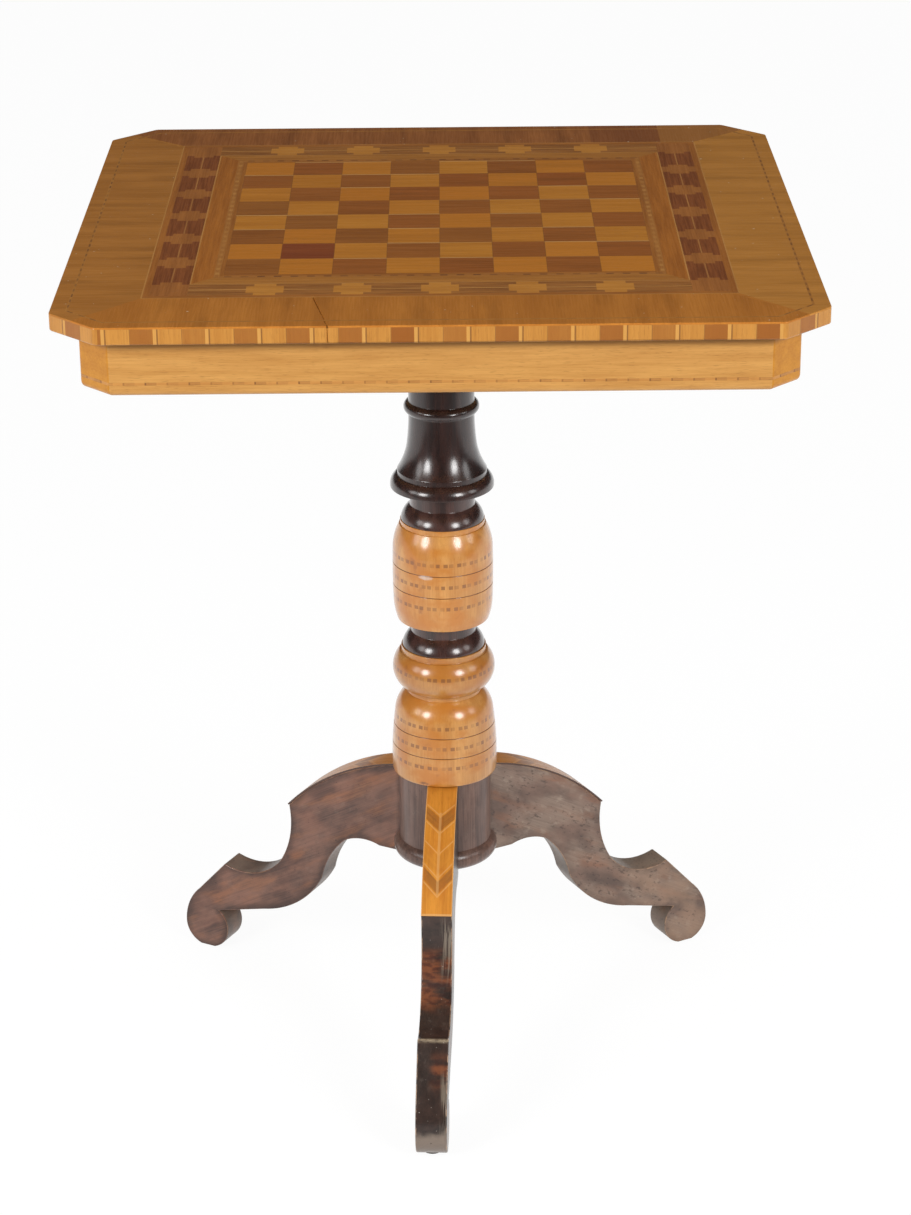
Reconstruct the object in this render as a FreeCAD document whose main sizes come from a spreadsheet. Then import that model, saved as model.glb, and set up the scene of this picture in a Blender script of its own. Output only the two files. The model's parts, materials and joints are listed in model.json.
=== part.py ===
import FreeCAD, Part
import math
import os

import Sketcher
from FreeCAD import Placement, Rotation, Vector

# Tripod chess table with an inlaid top that tilts on its pedestal.
# Millimetres, +Z up, origin on the floor under the pillar's axis; the players' front edge faces -Y.

# Driving sizes

SIZES = {
    # Hub that takes the three legs
    "hub_base": 155.0,
    "hub_height": 84.0,
    "hub_radius": 40.6,
    "hub_bead_radius": 46.0,
    "hub_bead_height": 17.0,
    # Legs: reach is measured out from the pillar's axis, height up from the floor
    "front_leg_angle": -93.0,
    "right_leg_angle": 28.0,
    "left_leg_angle": 152.0,
    "leg_thickness": 26.5,
    "leg_seat": 38.0,
    "leg_top_drop": 1.8,
    "leg_low_drop": 5.0,
    "leg_joint_gap": 0.1,
    "leg_arch_radius": 210.0,
    "leg_step_reach": 156.0,
    "riser_radius": 85.0,
    "riser_run": 10.0,
    "riser_foot_height": 110.5,
    "instep_radius": 52.0,
    "instep_run": 60.7,
    "toe_height": 92.5,
    "toe_slope_run": 29.3,
    "toe_slope_height": 60.0,
    "toe_round_radius": 50.0,
    "scroll_setback": 7.0,
    "scroll_radius": 23.0,
    "scroll_notch": 14.0,
    "sole_run": 64.0,
    "sole_height": 55.0,
    "calf_radius": 90.0,
    "calf_height": 103.0,
    "shin_radius": 80.0,
    "shin_run": 25.0,
    "cusp_drop": 8.0,
    "arch_radius": 42.0,
    "arch_run": 36.0,
    "arch_land": 22.9,
    "tongue_length": 14.0,
    "tongue_root_width": 11.0,
    "tongue_end_width": 16.0,
    "tongue_height": 70.0,
    "pad_radius": 9.0,
    "pad_thickness": 1.2,
    # Glued spigots of the turned pillar
    "spigot_radius": 15.0,
    "spigot_length": 25.0,
    "spigot_end_gap": 0.5,
    "glue_gap": 0.1,
    # Lower barrel
    "lower_barrel_height": 77.0,
    "lower_barrel_belly_radius": 46.2,
    "lower_barrel_belly_height": 11.0,
    "lower_barrel_swell": 360.0,
    "lower_barrel_foot_radius": 45.4,
    "lower_barrel_foot_height": 3.0,
    "lower_barrel_foot_round": 6.0,
    "lower_barrel_shoulder_rise": 16.4,
    "lower_barrel_shoulder_round": 26.0,
    "lower_barrel_neck_radius": 33.2,
    "lower_barrel_collar_radius": 32.6,
    "lower_barrel_collar_height": 1.6,
    "lower_barrel_first_ring": 17.7,
    "lower_barrel_last_ring_drop": 4.5,
    # Bobbin
    "bobbin_belly_radius": 44.6,
    "bobbin_swell": 22.0,
    "bobbin_foot_radius": 33.0,
    "bobbin_foot_height": 1.6,
    "bobbin_shoulder_radius": 38.5,
    "bobbin_collar_radius": 36.9,
    "bobbin_collar_height": 5.3,
    "bobbin_ring_lift": 3.2,
    # Upper barrel
    "upper_barrel_height": 91.0,
    "upper_barrel_belly_radius": 43.5,
    "upper_barrel_belly_height": 44.0,
    "upper_barrel_swell": 800.0,
    "upper_barrel_foot_radius": 39.8,
    "upper_barrel_foot_height": 17.0,
    "upper_barrel_foot_round": 57.0,
    "upper_barrel_shoulder_rise": 19.8,
    "upper_barrel_shoulder_round": 50.0,
    "upper_barrel_neck_radius": 37.3,
    "upper_barrel_collar_radius": 36.4,
    "upper_barrel_collar_height": 4.2,
    "upper_barrel_first_ring": 22.4,
    "upper_barrel_last_ring_drop": 4.6,
    # Inlaid rings of the light turnings, and the lines scribed between them
    "ring_height": 3.2,
    "ring_depth": 1.5,
    "ring_gap": 0.05,
    "scribe_width": 0.8,
    "scribe_depth": 0.5,
    # Dark reels
    "reel_radius": 35.8,
    "reel_edge": 1.5,
    "reel_flare_height": 13.5,
    "reel_flare_round": 20.0,
    "reel_neck_radius": 28.0,
    "middle_reel_height": 26.5,
    "upper_reel_height": 30.0,
    # Pillar head, from its foot up: flange, lip, bell, bead and neck
    "flange_radius": 44.5,
    "flange_edge": 2.0,
    "flange_height": 11.0,
    "flange_round": 11.0,
    "flange_top_radius": 39.4,
    "lip_radius": 38.4,
    "lip_height": 4.2,
    "bell_foot_height": 21.8,
    "bell_foot_round": 60.0,
    "bell_waist_radius": 30.0,
    "bell_shaft_height": 27.0,
    "bell_shaft_round": 200.0,
    "bead_gap": 2.0,
    "bead_height": 10.5,
    "bead_proud": 4.1,
    "neck_length": 115.7,
    "neck_radius": 28.1,
    "head_tenon_radius": 20.0,
    # Head block and the pivot of the tilting top
    "block_width": 150.0,
    "block_thickness": 30.0,
    "block_rear": 75.0,
    "pivot_reach": 90.0,
    "pivot_rise": 15.0,
    "top_rest_gap": 0.3,
    "pin_radius": 5.0,
    "pin_gap": 0.05,
    "pin_depth": 26.0,
    "bearer_gap": 0.5,
    "bearer_width": 22.0,
    "bearer_height": 34.0,
    "bearer_end_gap": 14.0,
    "bearer_screw_inset": 45.0,
    # Screws
    "screw_radius": 2.0,
    "screw_head_radius": 4.0,
    "screw_head_height": 2.5,
    "screw_bite": 9.0,
    "screw_gap": 0.05,
    "bearer_screw_recess": 10.0,
    # Catch that locks the top down
    "catch_gap": 2.5,
    "case_width": 40.0,
    "case_length": 42.0,
    "case_height": 18.0,
    "case_screw_inset": 6.5,
    "bolt_width": 12.0,
    "bolt_height": 6.0,
    "bolt_length": 50.0,
    "bolt_travel": 12.0,
    "bolt_gap": 0.2,
    "stem_radius": 2.5,
    "stem_length": 12.0,
    "stem_bite": 3.0,
    "knob_radius": 6.5,
    "keeper_width": 40.0,
    "keeper_thickness": 3.0,
    "keeper_let_in": 30.0,
    "keeper_lip": 12.0,
    "keeper_gap": 0.3,
    "keeper_screw_reach": 12.0,
    # Top board and its frieze
    "top_cant": 37.0,
    "core_thickness": 12.5,
    "veneer": 1.5,
    "edge_band": 2.0,
    "overhang": 20.8,
    "frieze_height": 47.2,
    "frieze_cant": 23.6,
    "frieze_thickness": 16.0,
    "glue_block_leg": 18.0,
    "glue_block_length": 50.0,
    "glue_block_spacing": 170.0,
    # Inlay of the top, from the board outwards
    "square": 42.0,
    "board_shift": 6.0,
    "surround": 3.0,
    "ladder": 5.0,
    "inner_border": 16.0,
    "inner_line": 1.0,
    "pattern_band": 29.0,
    "spool_length": 17.0,
    "spool_finger": 6.0,
    "block_tab": 6.0,
    "centre_line": 1.2,
    "outer_stripe": 5.0,
    "outer_line": 1.0,
    "border_width": 66.0,
    "border_string_inset": 12.0,
    "frieze_string_height": 10.0,
    "string_width": 2.2,
    "string_depth": 0.8,
}

SQUARES = 8
PATTERN_BLOCKS = 6
RINGS_PER_BARREL = 3
# The square in the second file from the left and the second rank from the front was replaced.
REPLACED_SQUARE = (1, 1)
# A cutter runs this far past the face that it cuts, and a tongue this far into its own leg.
OVERLAP = 1.0
# Corners that turn by less than this are in line.
STRAIGHT = 1e-9

doc = FreeCAD.newDocument("chess_table")
sheet = doc.addObject("Spreadsheet::Sheet", "Sizes")
for row, (alias, number) in enumerate(SIZES.items(), start=1):
    sheet.set(f"A{row}", alias)
    sheet.set(f"B{row}", str(number))
    sheet.setAlias(f"B{row}", alias)
doc.recompute()

pieces = []


# Sizes that keep their expression

class Size:
    """A length that keeps its number together with the sheet expression that gives it."""

    def __init__(self, value, text):
        self.value = float(value)
        self.text = text

    def __add__(self, other):
        other = as_size(other)
        return Size(self.value + other.value, f"({self.text} + {other.text})")

    def __sub__(self, other):
        other = as_size(other)
        return Size(self.value - other.value, f"({self.text} - {other.text})")

    def __mul__(self, other):
        other = as_size(other)
        return Size(self.value * other.value, f"({self.text} * {other.text})")

    def __truediv__(self, other):
        other = as_size(other)
        return Size(self.value / other.value, f"({self.text} / {other.text})")

    def __radd__(self, other):
        return as_size(other) + self

    def __rsub__(self, other):
        return as_size(other) - self

    def __rmul__(self, other):
        return as_size(other) * self

    def __neg__(self):
        return as_size(0) - self


def as_size(number):
    """Wraps a plain number; a Size passes through."""
    return number if isinstance(number, Size) else Size(number, str(number))


def size(alias):
    """Reads one driving size from the sheet."""
    return Size(sheet.get(alias), f"Sizes.{alias}")


def root(length):
    """Square root of a Size."""
    return Size(math.sqrt(length.value), f"sqrt({length.text})")


def bow_radius(height, proud):
    """Radius of an arc that spans a height and stands proud of its chord."""
    return (height * height / 4 + proud * proud) / (2 * proud)


# Drawing helpers

def arc_between(start, end, radius, turn):
    """Arc of a radius from start to end; its centre is left of the way (turn 1) or right of it (turn -1)."""
    chord = end - start
    middle = (start + end) * 0.5
    sideways = Vector(-chord.y, chord.x, 0).normalize()
    reach = math.sqrt(radius ** 2 - (chord.Length / 2) ** 2)
    centre = middle + sideways * (reach * turn)
    first, last = (start, end) if turn > 0 else (end, start)
    angles = [math.atan2(point.y - centre.y, point.x - centre.x) for point in (first, last)]
    if angles[1] < angles[0]:
        angles[1] += 2 * math.pi
    return Part.ArcOfCircle(Part.Circle(centre, Vector(0, 0, 1), radius), angles[0], angles[1])


def draw(body, name, role, path):
    """Draws a closed outline on one of a body's own planes and ties every corner to the sheet.

    path lists the corners in order as (across, up, bend). bend is None for a straight side to the next
    corner, or (radius, turn) for an arc. A plain 0 puts a corner on the plane's own axis.
    """
    sketch = body.newObject("Sketcher::SketchObject", name)
    plane = next(feature for feature in body.Origin.OriginFeatures if feature.Role == role)
    sketch.AttachmentSupport = [(plane, "")]
    sketch.MapMode = "FlatFace"
    corners = [Vector(as_size(across).value, as_size(up).value, 0) for across, up, _ in path]
    starts = []
    ends = []
    for index, (_, _, bend) in enumerate(path):
        here = corners[index]
        there = corners[(index + 1) % len(path)]
        if bend is None:
            sketch.addGeometry(Part.LineSegment(here, there), False)
        else:
            sketch.addGeometry(arc_between(here, there, bend[0].value, bend[1]), False)
        forward = bend is None or bend[1] > 0
        starts.append((index, 1 if forward else 2))
        ends.append((index, 2 if forward else 1))
    for index, end in enumerate(ends):
        sketch.addConstraint(Sketcher.Constraint("Coincident", *end, *starts[(index + 1) % len(path)]))
    for start, (across, up, bend) in zip(starts, path):
        tie(sketch, "DistanceX", start, across, -2)
        tie(sketch, "DistanceY", start, up, -1)
        if bend is not None:
            ring = sketch.addConstraint(Sketcher.Constraint("Radius", start[0], bend[0].value))
            sketch.setExpression(f"Constraints[{ring}]", bend[0].text)
    return sketch


def tie(sketch, kind, point, length, axis):
    """Holds a sketch point at a Size from the origin, or on an axis where the length is a plain 0."""
    if not isinstance(length, Size):
        sketch.addConstraint(Sketcher.Constraint("PointOnObject", *point, axis))
        return
    index = sketch.addConstraint(Sketcher.Constraint(kind, -1, 1, *point, length.value))
    sketch.setExpression(f"Constraints[{index}]", length.text)


def place(piece, height=None, angle=None):
    """Sets a piece up at a height above the floor, turned about the upright axis."""
    piece.Placement = Placement(
        Vector(0, 0, 0 if height is None else height.value),
        Rotation(Vector(0, 0, 1), 0 if angle is None else angle.value),
    )
    if height is not None:
        piece.setExpression("Placement.Base.z", height.text)
    if angle is not None:
        piece.setExpression("Placement.Rotation.Angle", angle.text)
    return piece


def keep(piece):
    """Adds a finished piece to those that are written out."""
    pieces.append(piece)
    return piece


def turned(name, path):
    """Turned piece: an outline of (radius, height) spun about the upright axis."""
    body = doc.addObject("PartDesign::Body", name)
    outline = draw(body, f"{name}_outline", "XZ_Plane", path)
    spin = body.newObject("PartDesign::Revolution", f"{name}_turning")
    spin.Profile = outline
    spin.ReferenceAxis = (outline, ["V_Axis"])
    spin.Angle = 360
    return body


def pad(body, name, role, path, length, both_ways=False):
    """Pads an outline on one of a body's planes; both_ways spreads the length to both sides of the plane."""
    outline = draw(body, f"{name}_outline", role, path)
    feature = body.newObject("PartDesign::Pad", f"{name}_pad")
    feature.Profile = outline
    feature.SideType = "Symmetric" if both_ways else "One side"
    feature.Length = length.value
    feature.setExpression("Length", length.text)
    return feature


def box(name, low, high):
    """Box between two corners given as Sizes."""
    solid = doc.addObject("Part::Box", name)
    for side, start, end in zip(("Length", "Width", "Height"), low, high):
        solid.setExpression(side, (as_size(end) - start).text)
    for axis, start in zip("xyz", low):
        solid.setExpression(f"Placement.Base.{axis}", as_size(start).text)
    return solid


AXIS_TURNS = {
    "+X": Rotation(Vector(0, 1, 0), 90),
    "+Z": Rotation(),
}


def rod(name, radius, length, foot, way):
    """Round rod from the centre of its foot along +X or +Z."""
    solid = doc.addObject("Part::Cylinder", name)
    solid.setExpression("Radius", radius.text)
    solid.setExpression("Height", length.text)
    solid.Placement = Placement(Vector(), AXIS_TURNS[way])
    for axis, start in zip("xyz", foot):
        solid.setExpression(f"Placement.Base.{axis}", as_size(start).text)
    return solid


def cut(name, base, tools):
    """Takes tools out of a base, one after the other; the last result carries the name."""
    for index, tool in enumerate(tools):
        last = index == len(tools) - 1
        result = doc.addObject("Part::Cut", name if last else f"{name}_stage_{index}")
        result.Base = base
        result.Tool = tool
        base = result
    return base


def group(name, solids, height=0.0):
    """Several like solids in one node, drawn from height 0 and lifted to their place."""
    feature = doc.addObject("Part::Feature", name)
    feature.Shape = Part.makeCompound(solids)
    feature.Placement = Placement(Vector(0, 0, height), Rotation())
    return feature


def prism(points, low, high):
    """Upright prism of an outline of (x, y) numbers between two heights."""
    corners = [Vector(x, y, low) for x, y in points]
    face = Part.Face(Part.makePolygon(corners + corners[:1]))
    return face.extrude(Vector(0, 0, high - low))


# Glued joints of the pillar

spigot = size("spigot_radius")
socket = spigot + size("glue_gap")
grip = size("spigot_length")
socket_depth = grip + size("spigot_end_gap")


# Bowed sides of the light turnings

class Bow:
    """Side of a light turning: a large arc that is widest at its belly."""

    def __init__(self, prefix, belly_height):
        self.belly_radius = size(f"{prefix}_belly_radius")
        self.swell = size(f"{prefix}_swell")
        self.belly_height = belly_height

    def radius(self, height):
        """Radius of the turning at a height above its foot."""
        off_belly = height - self.belly_height
        return self.belly_radius - self.swell + root(self.swell * self.swell - off_belly * off_belly)

    def rise(self, radius):
        """Height between the belly and the place where the turning has a smaller radius."""
        inward = self.swell - self.belly_radius + radius
        return root(self.swell * self.swell - inward * inward)

    def grooved(self, start, rings):
        """Stretch of outline up the side: a groove for each inlaid ring and a scribed line between rings."""
        path = [(self.radius(start), start, (self.swell, 1))]
        for index, middle in enumerate(rings):
            if index:
                path += self.scribed((rings[index - 1] + middle) / 2)
            low = middle - size("ring_height") / 2
            high = middle + size("ring_height") / 2
            bottom = self.radius(middle) - size("ring_depth")
            path += [
                (self.radius(low), low, None),
                (bottom, low, None),
                (bottom, high, None),
                (self.radius(high), high, (self.swell, 1)),
            ]
        return path

    def scribed(self, middle):
        """Stretch of outline through a V-shaped line scribed into the side at a height."""
        half = size("scribe_width") / 2
        return [
            (self.radius(middle - half), middle - half, None),
            (self.radius(middle) - size("scribe_depth"), middle, None),
            (self.radius(middle + half), middle + half, (self.swell, 1)),
        ]

    def ring(self, middle):
        """Outline of an inlaid ring, flush with the side and just clear of its groove's bottom."""
        low = middle - size("ring_height") / 2
        high = middle + size("ring_height") / 2
        bottom = self.radius(middle) - size("ring_depth") + size("ring_gap")
        return [
            (bottom, low, None),
            (self.radius(low), low, (self.swell, 1)),
            (self.radius(high), high, None),
            (bottom, high, None),
        ]


# Pillar heights, each piece standing on the one below

bobbin_low_bow = Bow("bobbin", as_size(0))
bobbin_belly = size("bobbin_foot_height") + bobbin_low_bow.rise(size("bobbin_foot_radius"))
bobbin_shoulder = bobbin_belly + bobbin_low_bow.rise(size("bobbin_shoulder_radius"))
bobbin_height = bobbin_shoulder + size("bobbin_collar_height")

lip_foot = size("flange_height")
bell_foot = lip_foot + size("lip_height")
bell_waist = bell_foot + size("bell_foot_height")
bell_top = bell_waist + size("bell_shaft_height")
bead_foot = bell_top + size("bead_gap")
bead_top = bead_foot + size("bead_height")
head_height = bead_top + size("neck_length")

hub_foot = size("hub_base")
lower_barrel_foot = hub_foot + size("hub_height")
bobbin_foot = lower_barrel_foot + size("lower_barrel_height")
middle_reel_foot = bobbin_foot + bobbin_height
upper_barrel_foot = middle_reel_foot + size("middle_reel_height")
upper_reel_foot = upper_barrel_foot + size("upper_barrel_height")
head_foot = upper_reel_foot + size("upper_reel_height")
block_foot = head_foot + head_height
block_top = block_foot + size("block_thickness")
pivot_height = block_foot + size("pivot_rise")
core_foot = block_top + size("top_rest_gap")
core_top = core_foot + size("core_thickness")
frieze_foot = core_foot - size("frieze_height")


# Pillar

def socket_start():
    """Outline of the socket in a turning's foot, from the axis out to the foot."""
    return [(0, socket_depth, None), (socket, socket_depth, None), (socket, 0, None)]


def spigot_end(height, length):
    """Outline of the spigot on a turning's top, in to the axis."""
    return [(spigot, height, None), (spigot, height + length, None), (0, height + length, None)]


def barrel(prefix, foot, spigot_length):
    """Light barrel with a socket below, a spigot above and rings of banding let into its side."""
    bow = Bow(prefix, size(f"{prefix}_belly_height"))
    height = size(f"{prefix}_height")
    collar = size(f"{prefix}_collar_radius")
    collar_foot = height - size(f"{prefix}_collar_height")
    shoulder = collar_foot - size(f"{prefix}_shoulder_rise")
    first_ring = size(f"{prefix}_first_ring")
    pitch = (shoulder - size(f"{prefix}_last_ring_drop") - first_ring) / (RINGS_PER_BARREL - 1)
    rings = [first_ring + pitch * index for index in range(RINGS_PER_BARREL)]
    path = [
        *socket_start(),
        (size(f"{prefix}_foot_radius"), 0, (size(f"{prefix}_foot_round"), 1)),
        *bow.grooved(size(f"{prefix}_foot_height"), rings),
        (bow.radius(shoulder), shoulder, (size(f"{prefix}_shoulder_round"), 1)),
        (size(f"{prefix}_neck_radius"), collar_foot, None),
        (collar, collar_foot, None),
        (collar, height, None),
        *spigot_end(height, spigot_length),
    ]
    keep(place(turned(prefix, path), foot))
    inlay_rings(f"{prefix}_inlay", [bow.ring(middle) for middle in rings], foot)


def bobbin(foot, spigot_length):
    """Light bobbin between the lower barrel and the middle reel, with one ring of banding."""
    bow = Bow("bobbin", bobbin_belly)
    collar = size("bobbin_collar_radius")
    ring = bobbin_belly + size("bobbin_ring_lift")
    path = [
        *socket_start(),
        (size("bobbin_foot_radius"), 0, None),
        *bow.grooved(size("bobbin_foot_height"), [ring]),
        (size("bobbin_shoulder_radius"), bobbin_shoulder, None),
        (collar, bobbin_shoulder, None),
        (collar, bobbin_height, None),
        *spigot_end(bobbin_height, spigot_length),
    ]
    keep(place(turned("bobbin", path), foot))
    inlay_rings("bobbin_inlay", [bow.ring(ring)], foot)


def inlay_rings(name, outlines, foot):
    """Rings of banding of one light turning, in one node."""
    rings = [place(turned(f"{name}_ring_{index}", path), foot) for index, path in enumerate(outlines)]
    bundle = doc.addObject("Part::Compound", name)
    bundle.Links = rings
    return keep(bundle)


def reel(name, height, foot):
    """Dark reel: a ring with a straight neck that flares to a round foot, threaded on the spigot below."""
    path = [
        (socket, 0, None),
        (size("reel_radius"), 0, None),
        (size("reel_radius"), size("reel_edge"), (size("reel_flare_round"), 1)),
        (size("reel_neck_radius"), size("reel_flare_height"), None),
        (size("reel_neck_radius"), height, None),
        (socket, height, None),
    ]
    return keep(place(turned(name, path), foot))


def pillar_head():
    """Dark head of the pillar: flange, bell, bead, neck and the tenon that carries the head block."""
    neck = size("neck_radius")
    tenon = size("head_tenon_radius")
    tenon_top = head_height + size("block_thickness") - size("spigot_end_gap")
    bead_bow = bow_radius(size("bead_height"), size("bead_proud"))
    path = [
        *socket_start(),
        (size("flange_radius"), 0, None),
        (size("flange_radius"), size("flange_edge"), (size("flange_round"), 1)),
        (size("flange_top_radius"), lip_foot, None),
        (size("lip_radius"), lip_foot, None),
        (size("lip_radius"), bell_foot, (size("bell_foot_round"), -1)),
        (size("bell_waist_radius"), bell_waist, (size("bell_shaft_round"), -1)),
        (neck, bell_top, None),
        (neck, bead_foot, (bead_bow, 1)),
        (neck, bead_top, None),
        (neck, head_height, None),
        (tenon, head_height, None),
        (tenon, tenon_top, None),
        (0, tenon_top, None),
    ]
    return keep(place(turned("pillar_head", path), head_foot))


def leg_cutter(name, angle):
    """Room in the hub for one leg: the flat that its shoulder seats on and the slot of its dovetail."""
    body = doc.addObject("PartDesign::Body", name)
    gap = size("leg_joint_gap")
    seat = size("leg_seat")
    half = size("leg_thickness") / 2 + gap
    outside = size("hub_bead_radius") + OVERLAP
    flat = [(seat, -half, None), (outside, -half, None), (outside, half, None), (seat, half, None)]
    pad(body, f"{name}_flat", "XY_Plane", flat, size("hub_height") - size("leg_top_drop") + gap)
    slot = dovetail(seat - size("tongue_length") - gap, seat + OVERLAP, gap)
    pad(body, f"{name}_slot", "XY_Plane", slot, size("tongue_height") + gap)
    return place(body, hub_foot, angle)


def dovetail(inner, outer, gap):
    """Outline of a leg's dovetail between two reaches, widened by a gap."""
    end_half = size("tongue_end_width") / 2 + gap
    root_half = size("tongue_root_width") / 2 + gap
    corners = [(inner, -end_half), (outer, -root_half), (outer, root_half), (inner, end_half)]
    return [(reach, across, None) for reach, across in corners]


def hub(angles):
    """Dark hub with a beaded foot, cut for the three legs."""
    radius = size("hub_radius")
    bead_bow = bow_radius(size("hub_bead_height"), size("hub_bead_radius") - radius)
    path = [
        (0, 0, None),
        (radius, 0, (bead_bow, 1)),
        (radius, size("hub_bead_height"), None),
        (radius, size("hub_height"), None),
        *spigot_end(size("hub_height"), grip),
    ]
    blank = place(turned("hub_blank", path), hub_foot)
    cutters = [leg_cutter(f"{side}_leg_room", angle) for side, angle in angles.items()]
    return keep(cut("hub", blank, cutters))


# Legs

riser_foot = size("leg_step_reach") + size("riser_run")
toe = riser_foot + size("instep_run")
toe_slope_end = toe + size("toe_slope_run")
scroll_reach = toe_slope_end - size("scroll_setback")
sole_start = scroll_reach - size("sole_run")
leg_face = size("leg_seat") + size("leg_joint_gap")
arch_end = leg_face + size("arch_land")
cusp = arch_end + size("arch_run")
calf_start = cusp + size("shin_run")
leg_crown = lower_barrel_foot - size("leg_top_drop")
arch_centre = leg_crown - root(size("leg_arch_radius") * size("leg_arch_radius") - leg_face * leg_face)


def arch_height(radius, reach):
    """Height of the leg's arched back at a reach, for the veneer's radius or the wood's."""
    return arch_centre + root(radius * radius - reach * reach)


def leg(side, angle):
    """Scrolled leg with its dovetail, and the strip of veneer on its arched back."""
    outer = size("leg_arch_radius")
    inner = outer - size("veneer")
    step = size("leg_step_reach")
    under_step = step * inner / outer
    scroll = size("scroll_radius")
    flat_height = size("pad_thickness")
    flat_half = root(scroll * scroll - (scroll - flat_height) * (scroll - flat_height))
    notch = size("scroll_notch")
    low = hub_foot - size("leg_low_drop")
    path = [
        (leg_face, low, None),
        (leg_face, arch_height(inner, leg_face), (inner, -1)),
        (under_step, arch_height(inner, under_step), (size("riser_radius"), 1)),
        (riser_foot, size("riser_foot_height"), (size("instep_radius"), 1)),
        (toe, size("toe_height"), None),
        (toe_slope_end, size("toe_slope_height"), (size("toe_round_radius"), -1)),
        (scroll_reach + scroll, scroll, (scroll, -1)),
        (scroll_reach + flat_half, flat_height, None),
        (scroll_reach - flat_half, flat_height, (scroll, -1)),
        (scroll_reach - notch, scroll + root(scroll * scroll - notch * notch), None),
        (sole_start, size("sole_height"), (size("calf_radius"), -1)),
        (calf_start, size("calf_height"), (size("shin_radius"), 1)),
        (cusp, hub_foot - size("cusp_drop"), (size("arch_radius"), 1)),
        (arch_end, low, None),
    ]
    body = doc.addObject("PartDesign::Body", f"{side}_leg")
    pad(body, f"{side}_leg_blank", "XZ_Plane", path, size("leg_thickness"), both_ways=True)
    tongue = dovetail(size("leg_seat") - size("tongue_length"), leg_face + OVERLAP, as_size(0))
    feature = pad(body, f"{side}_leg_dovetail", "XY_Plane", tongue, size("tongue_height"))
    feature.Profile[0].setExpression("AttachmentOffset.Base.z", hub_foot.text)
    keep(place(body, None, angle))

    strip_path = [
        (leg_face, arch_height(inner, leg_face), None),
        (leg_face, arch_height(outer, leg_face), (outer, -1)),
        (step, arch_height(outer, step), None),
        (under_step, arch_height(inner, under_step), (inner, 1)),
    ]
    strip = doc.addObject("PartDesign::Body", f"{side}_leg_veneer")
    pad(strip, f"{side}_leg_strip", "XZ_Plane", strip_path, size("leg_thickness"), both_ways=True)
    keep(place(strip, None, angle))


def foot_pads(angles):
    """Felt discs under the three scrolls."""
    pads = []
    for side, angle in angles.items():
        disc = rod(f"{side}_pad", size("pad_radius"), size("pad_thickness"), (0, 0, 0), "+Z")
        turn = f"({angle.text}) * 1 deg"
        disc.setExpression("Placement.Base.x", f"{scroll_reach.text} * cos({turn})")
        disc.setExpression("Placement.Base.y", f"{scroll_reach.text} * sin({turn})")
        pads.append(disc)
    bundle = doc.addObject("Part::Compound", "foot_pads")
    bundle.Links = pads
    return keep(bundle)


# Head block, pivot and bearers

board_half = size("square") * SQUARES / 2
inner_frame = board_half + size("surround") + size("ladder") + size("inner_border") + size("inner_line")
border_opening = inner_frame + size("pattern_band") + size("outer_stripe") + size("outer_line")
top_half = border_opening + size("border_width")
block_half = size("block_width") / 2
bolt_top = block_top - size("keeper_thickness") - size("keeper_gap")
bolt_middle = bolt_top - size("bolt_height") / 2
bearer_inner = block_half + size("bearer_gap")
frieze_half = top_half - size("overhang")
frieze_inner = frieze_half - size("frieze_thickness")
bearer_half_length = frieze_inner - size("bearer_end_gap")
pin_hole = size("pin_radius") + size("pin_gap")


def screw(foot, way, shank):
    """Wood screw with a plain round head; foot is the outer face of its head."""
    head_height = size("screw_head_height").value
    head = Part.makeCylinder(size("screw_head_radius").value, head_height, foot, way)
    stem = Part.makeCylinder(size("screw_radius").value, head_height + shank, foot, way)
    return head.fuse(stem).removeSplitter()


def screw_room(foot, way, shank, recess):
    """Room for a screw: its shank all the way and its head down from a recess in front of it."""
    gap = size("screw_gap").value
    head_height = size("screw_head_height").value
    stem = Part.makeCylinder(size("screw_radius").value + gap, head_height + shank + gap, foot, way)
    head_radius = size("screw_head_radius").value + gap
    head = Part.makeCylinder(head_radius, recess + head_height, foot - way * recess, way)
    return head.fuse(stem)


def bearer_screw_feet():
    """Outer faces of the bearer screws' heads, sunk into the bearers from below."""
    across = (bearer_inner + size("bearer_width") / 2).value
    along = (bearer_half_length - size("bearer_screw_inset")).value
    low = (core_foot - size("bearer_height") + size("bearer_screw_recess")).value
    return [Vector(x, y, low) for x in (-across, across) for y in (-along, 0, along)]


def case_screw_feet():
    """Outer faces of the catch case's screws, flush with its lower face."""
    across = (size("case_width") / 2 - size("case_screw_inset")).value
    inset_end = size("case_screw_inset")
    ends = (case_front + inset_end, case_front + size("case_length") - inset_end)
    return [Vector(x, y.value, case_low.value) for x in (-across, across) for y in ends]


def keeper_screw_feet():
    """Outer faces of the keeper's screws, flush with its upper face."""
    along = (size("block_rear") - size("keeper_let_in") / 2).value
    reach = size("keeper_screw_reach").value
    return [Vector(x, along, block_top.value) for x in (-reach, reach)]


UP = Vector(0, 0, 1)
DOWN = Vector(0, 0, -1)


def screws(name, feet, way, through, recess=0.0):
    """Group of like screws that pass through a thickness into the piece behind, and the cutter for them."""
    shank = through - recess - size("screw_head_height").value + size("screw_bite").value
    keep(group(name, [screw(foot, way, shank) for foot in feet]))
    return group(f"{name}_room", [screw_room(foot, way, shank, recess) for foot in feet])


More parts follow.
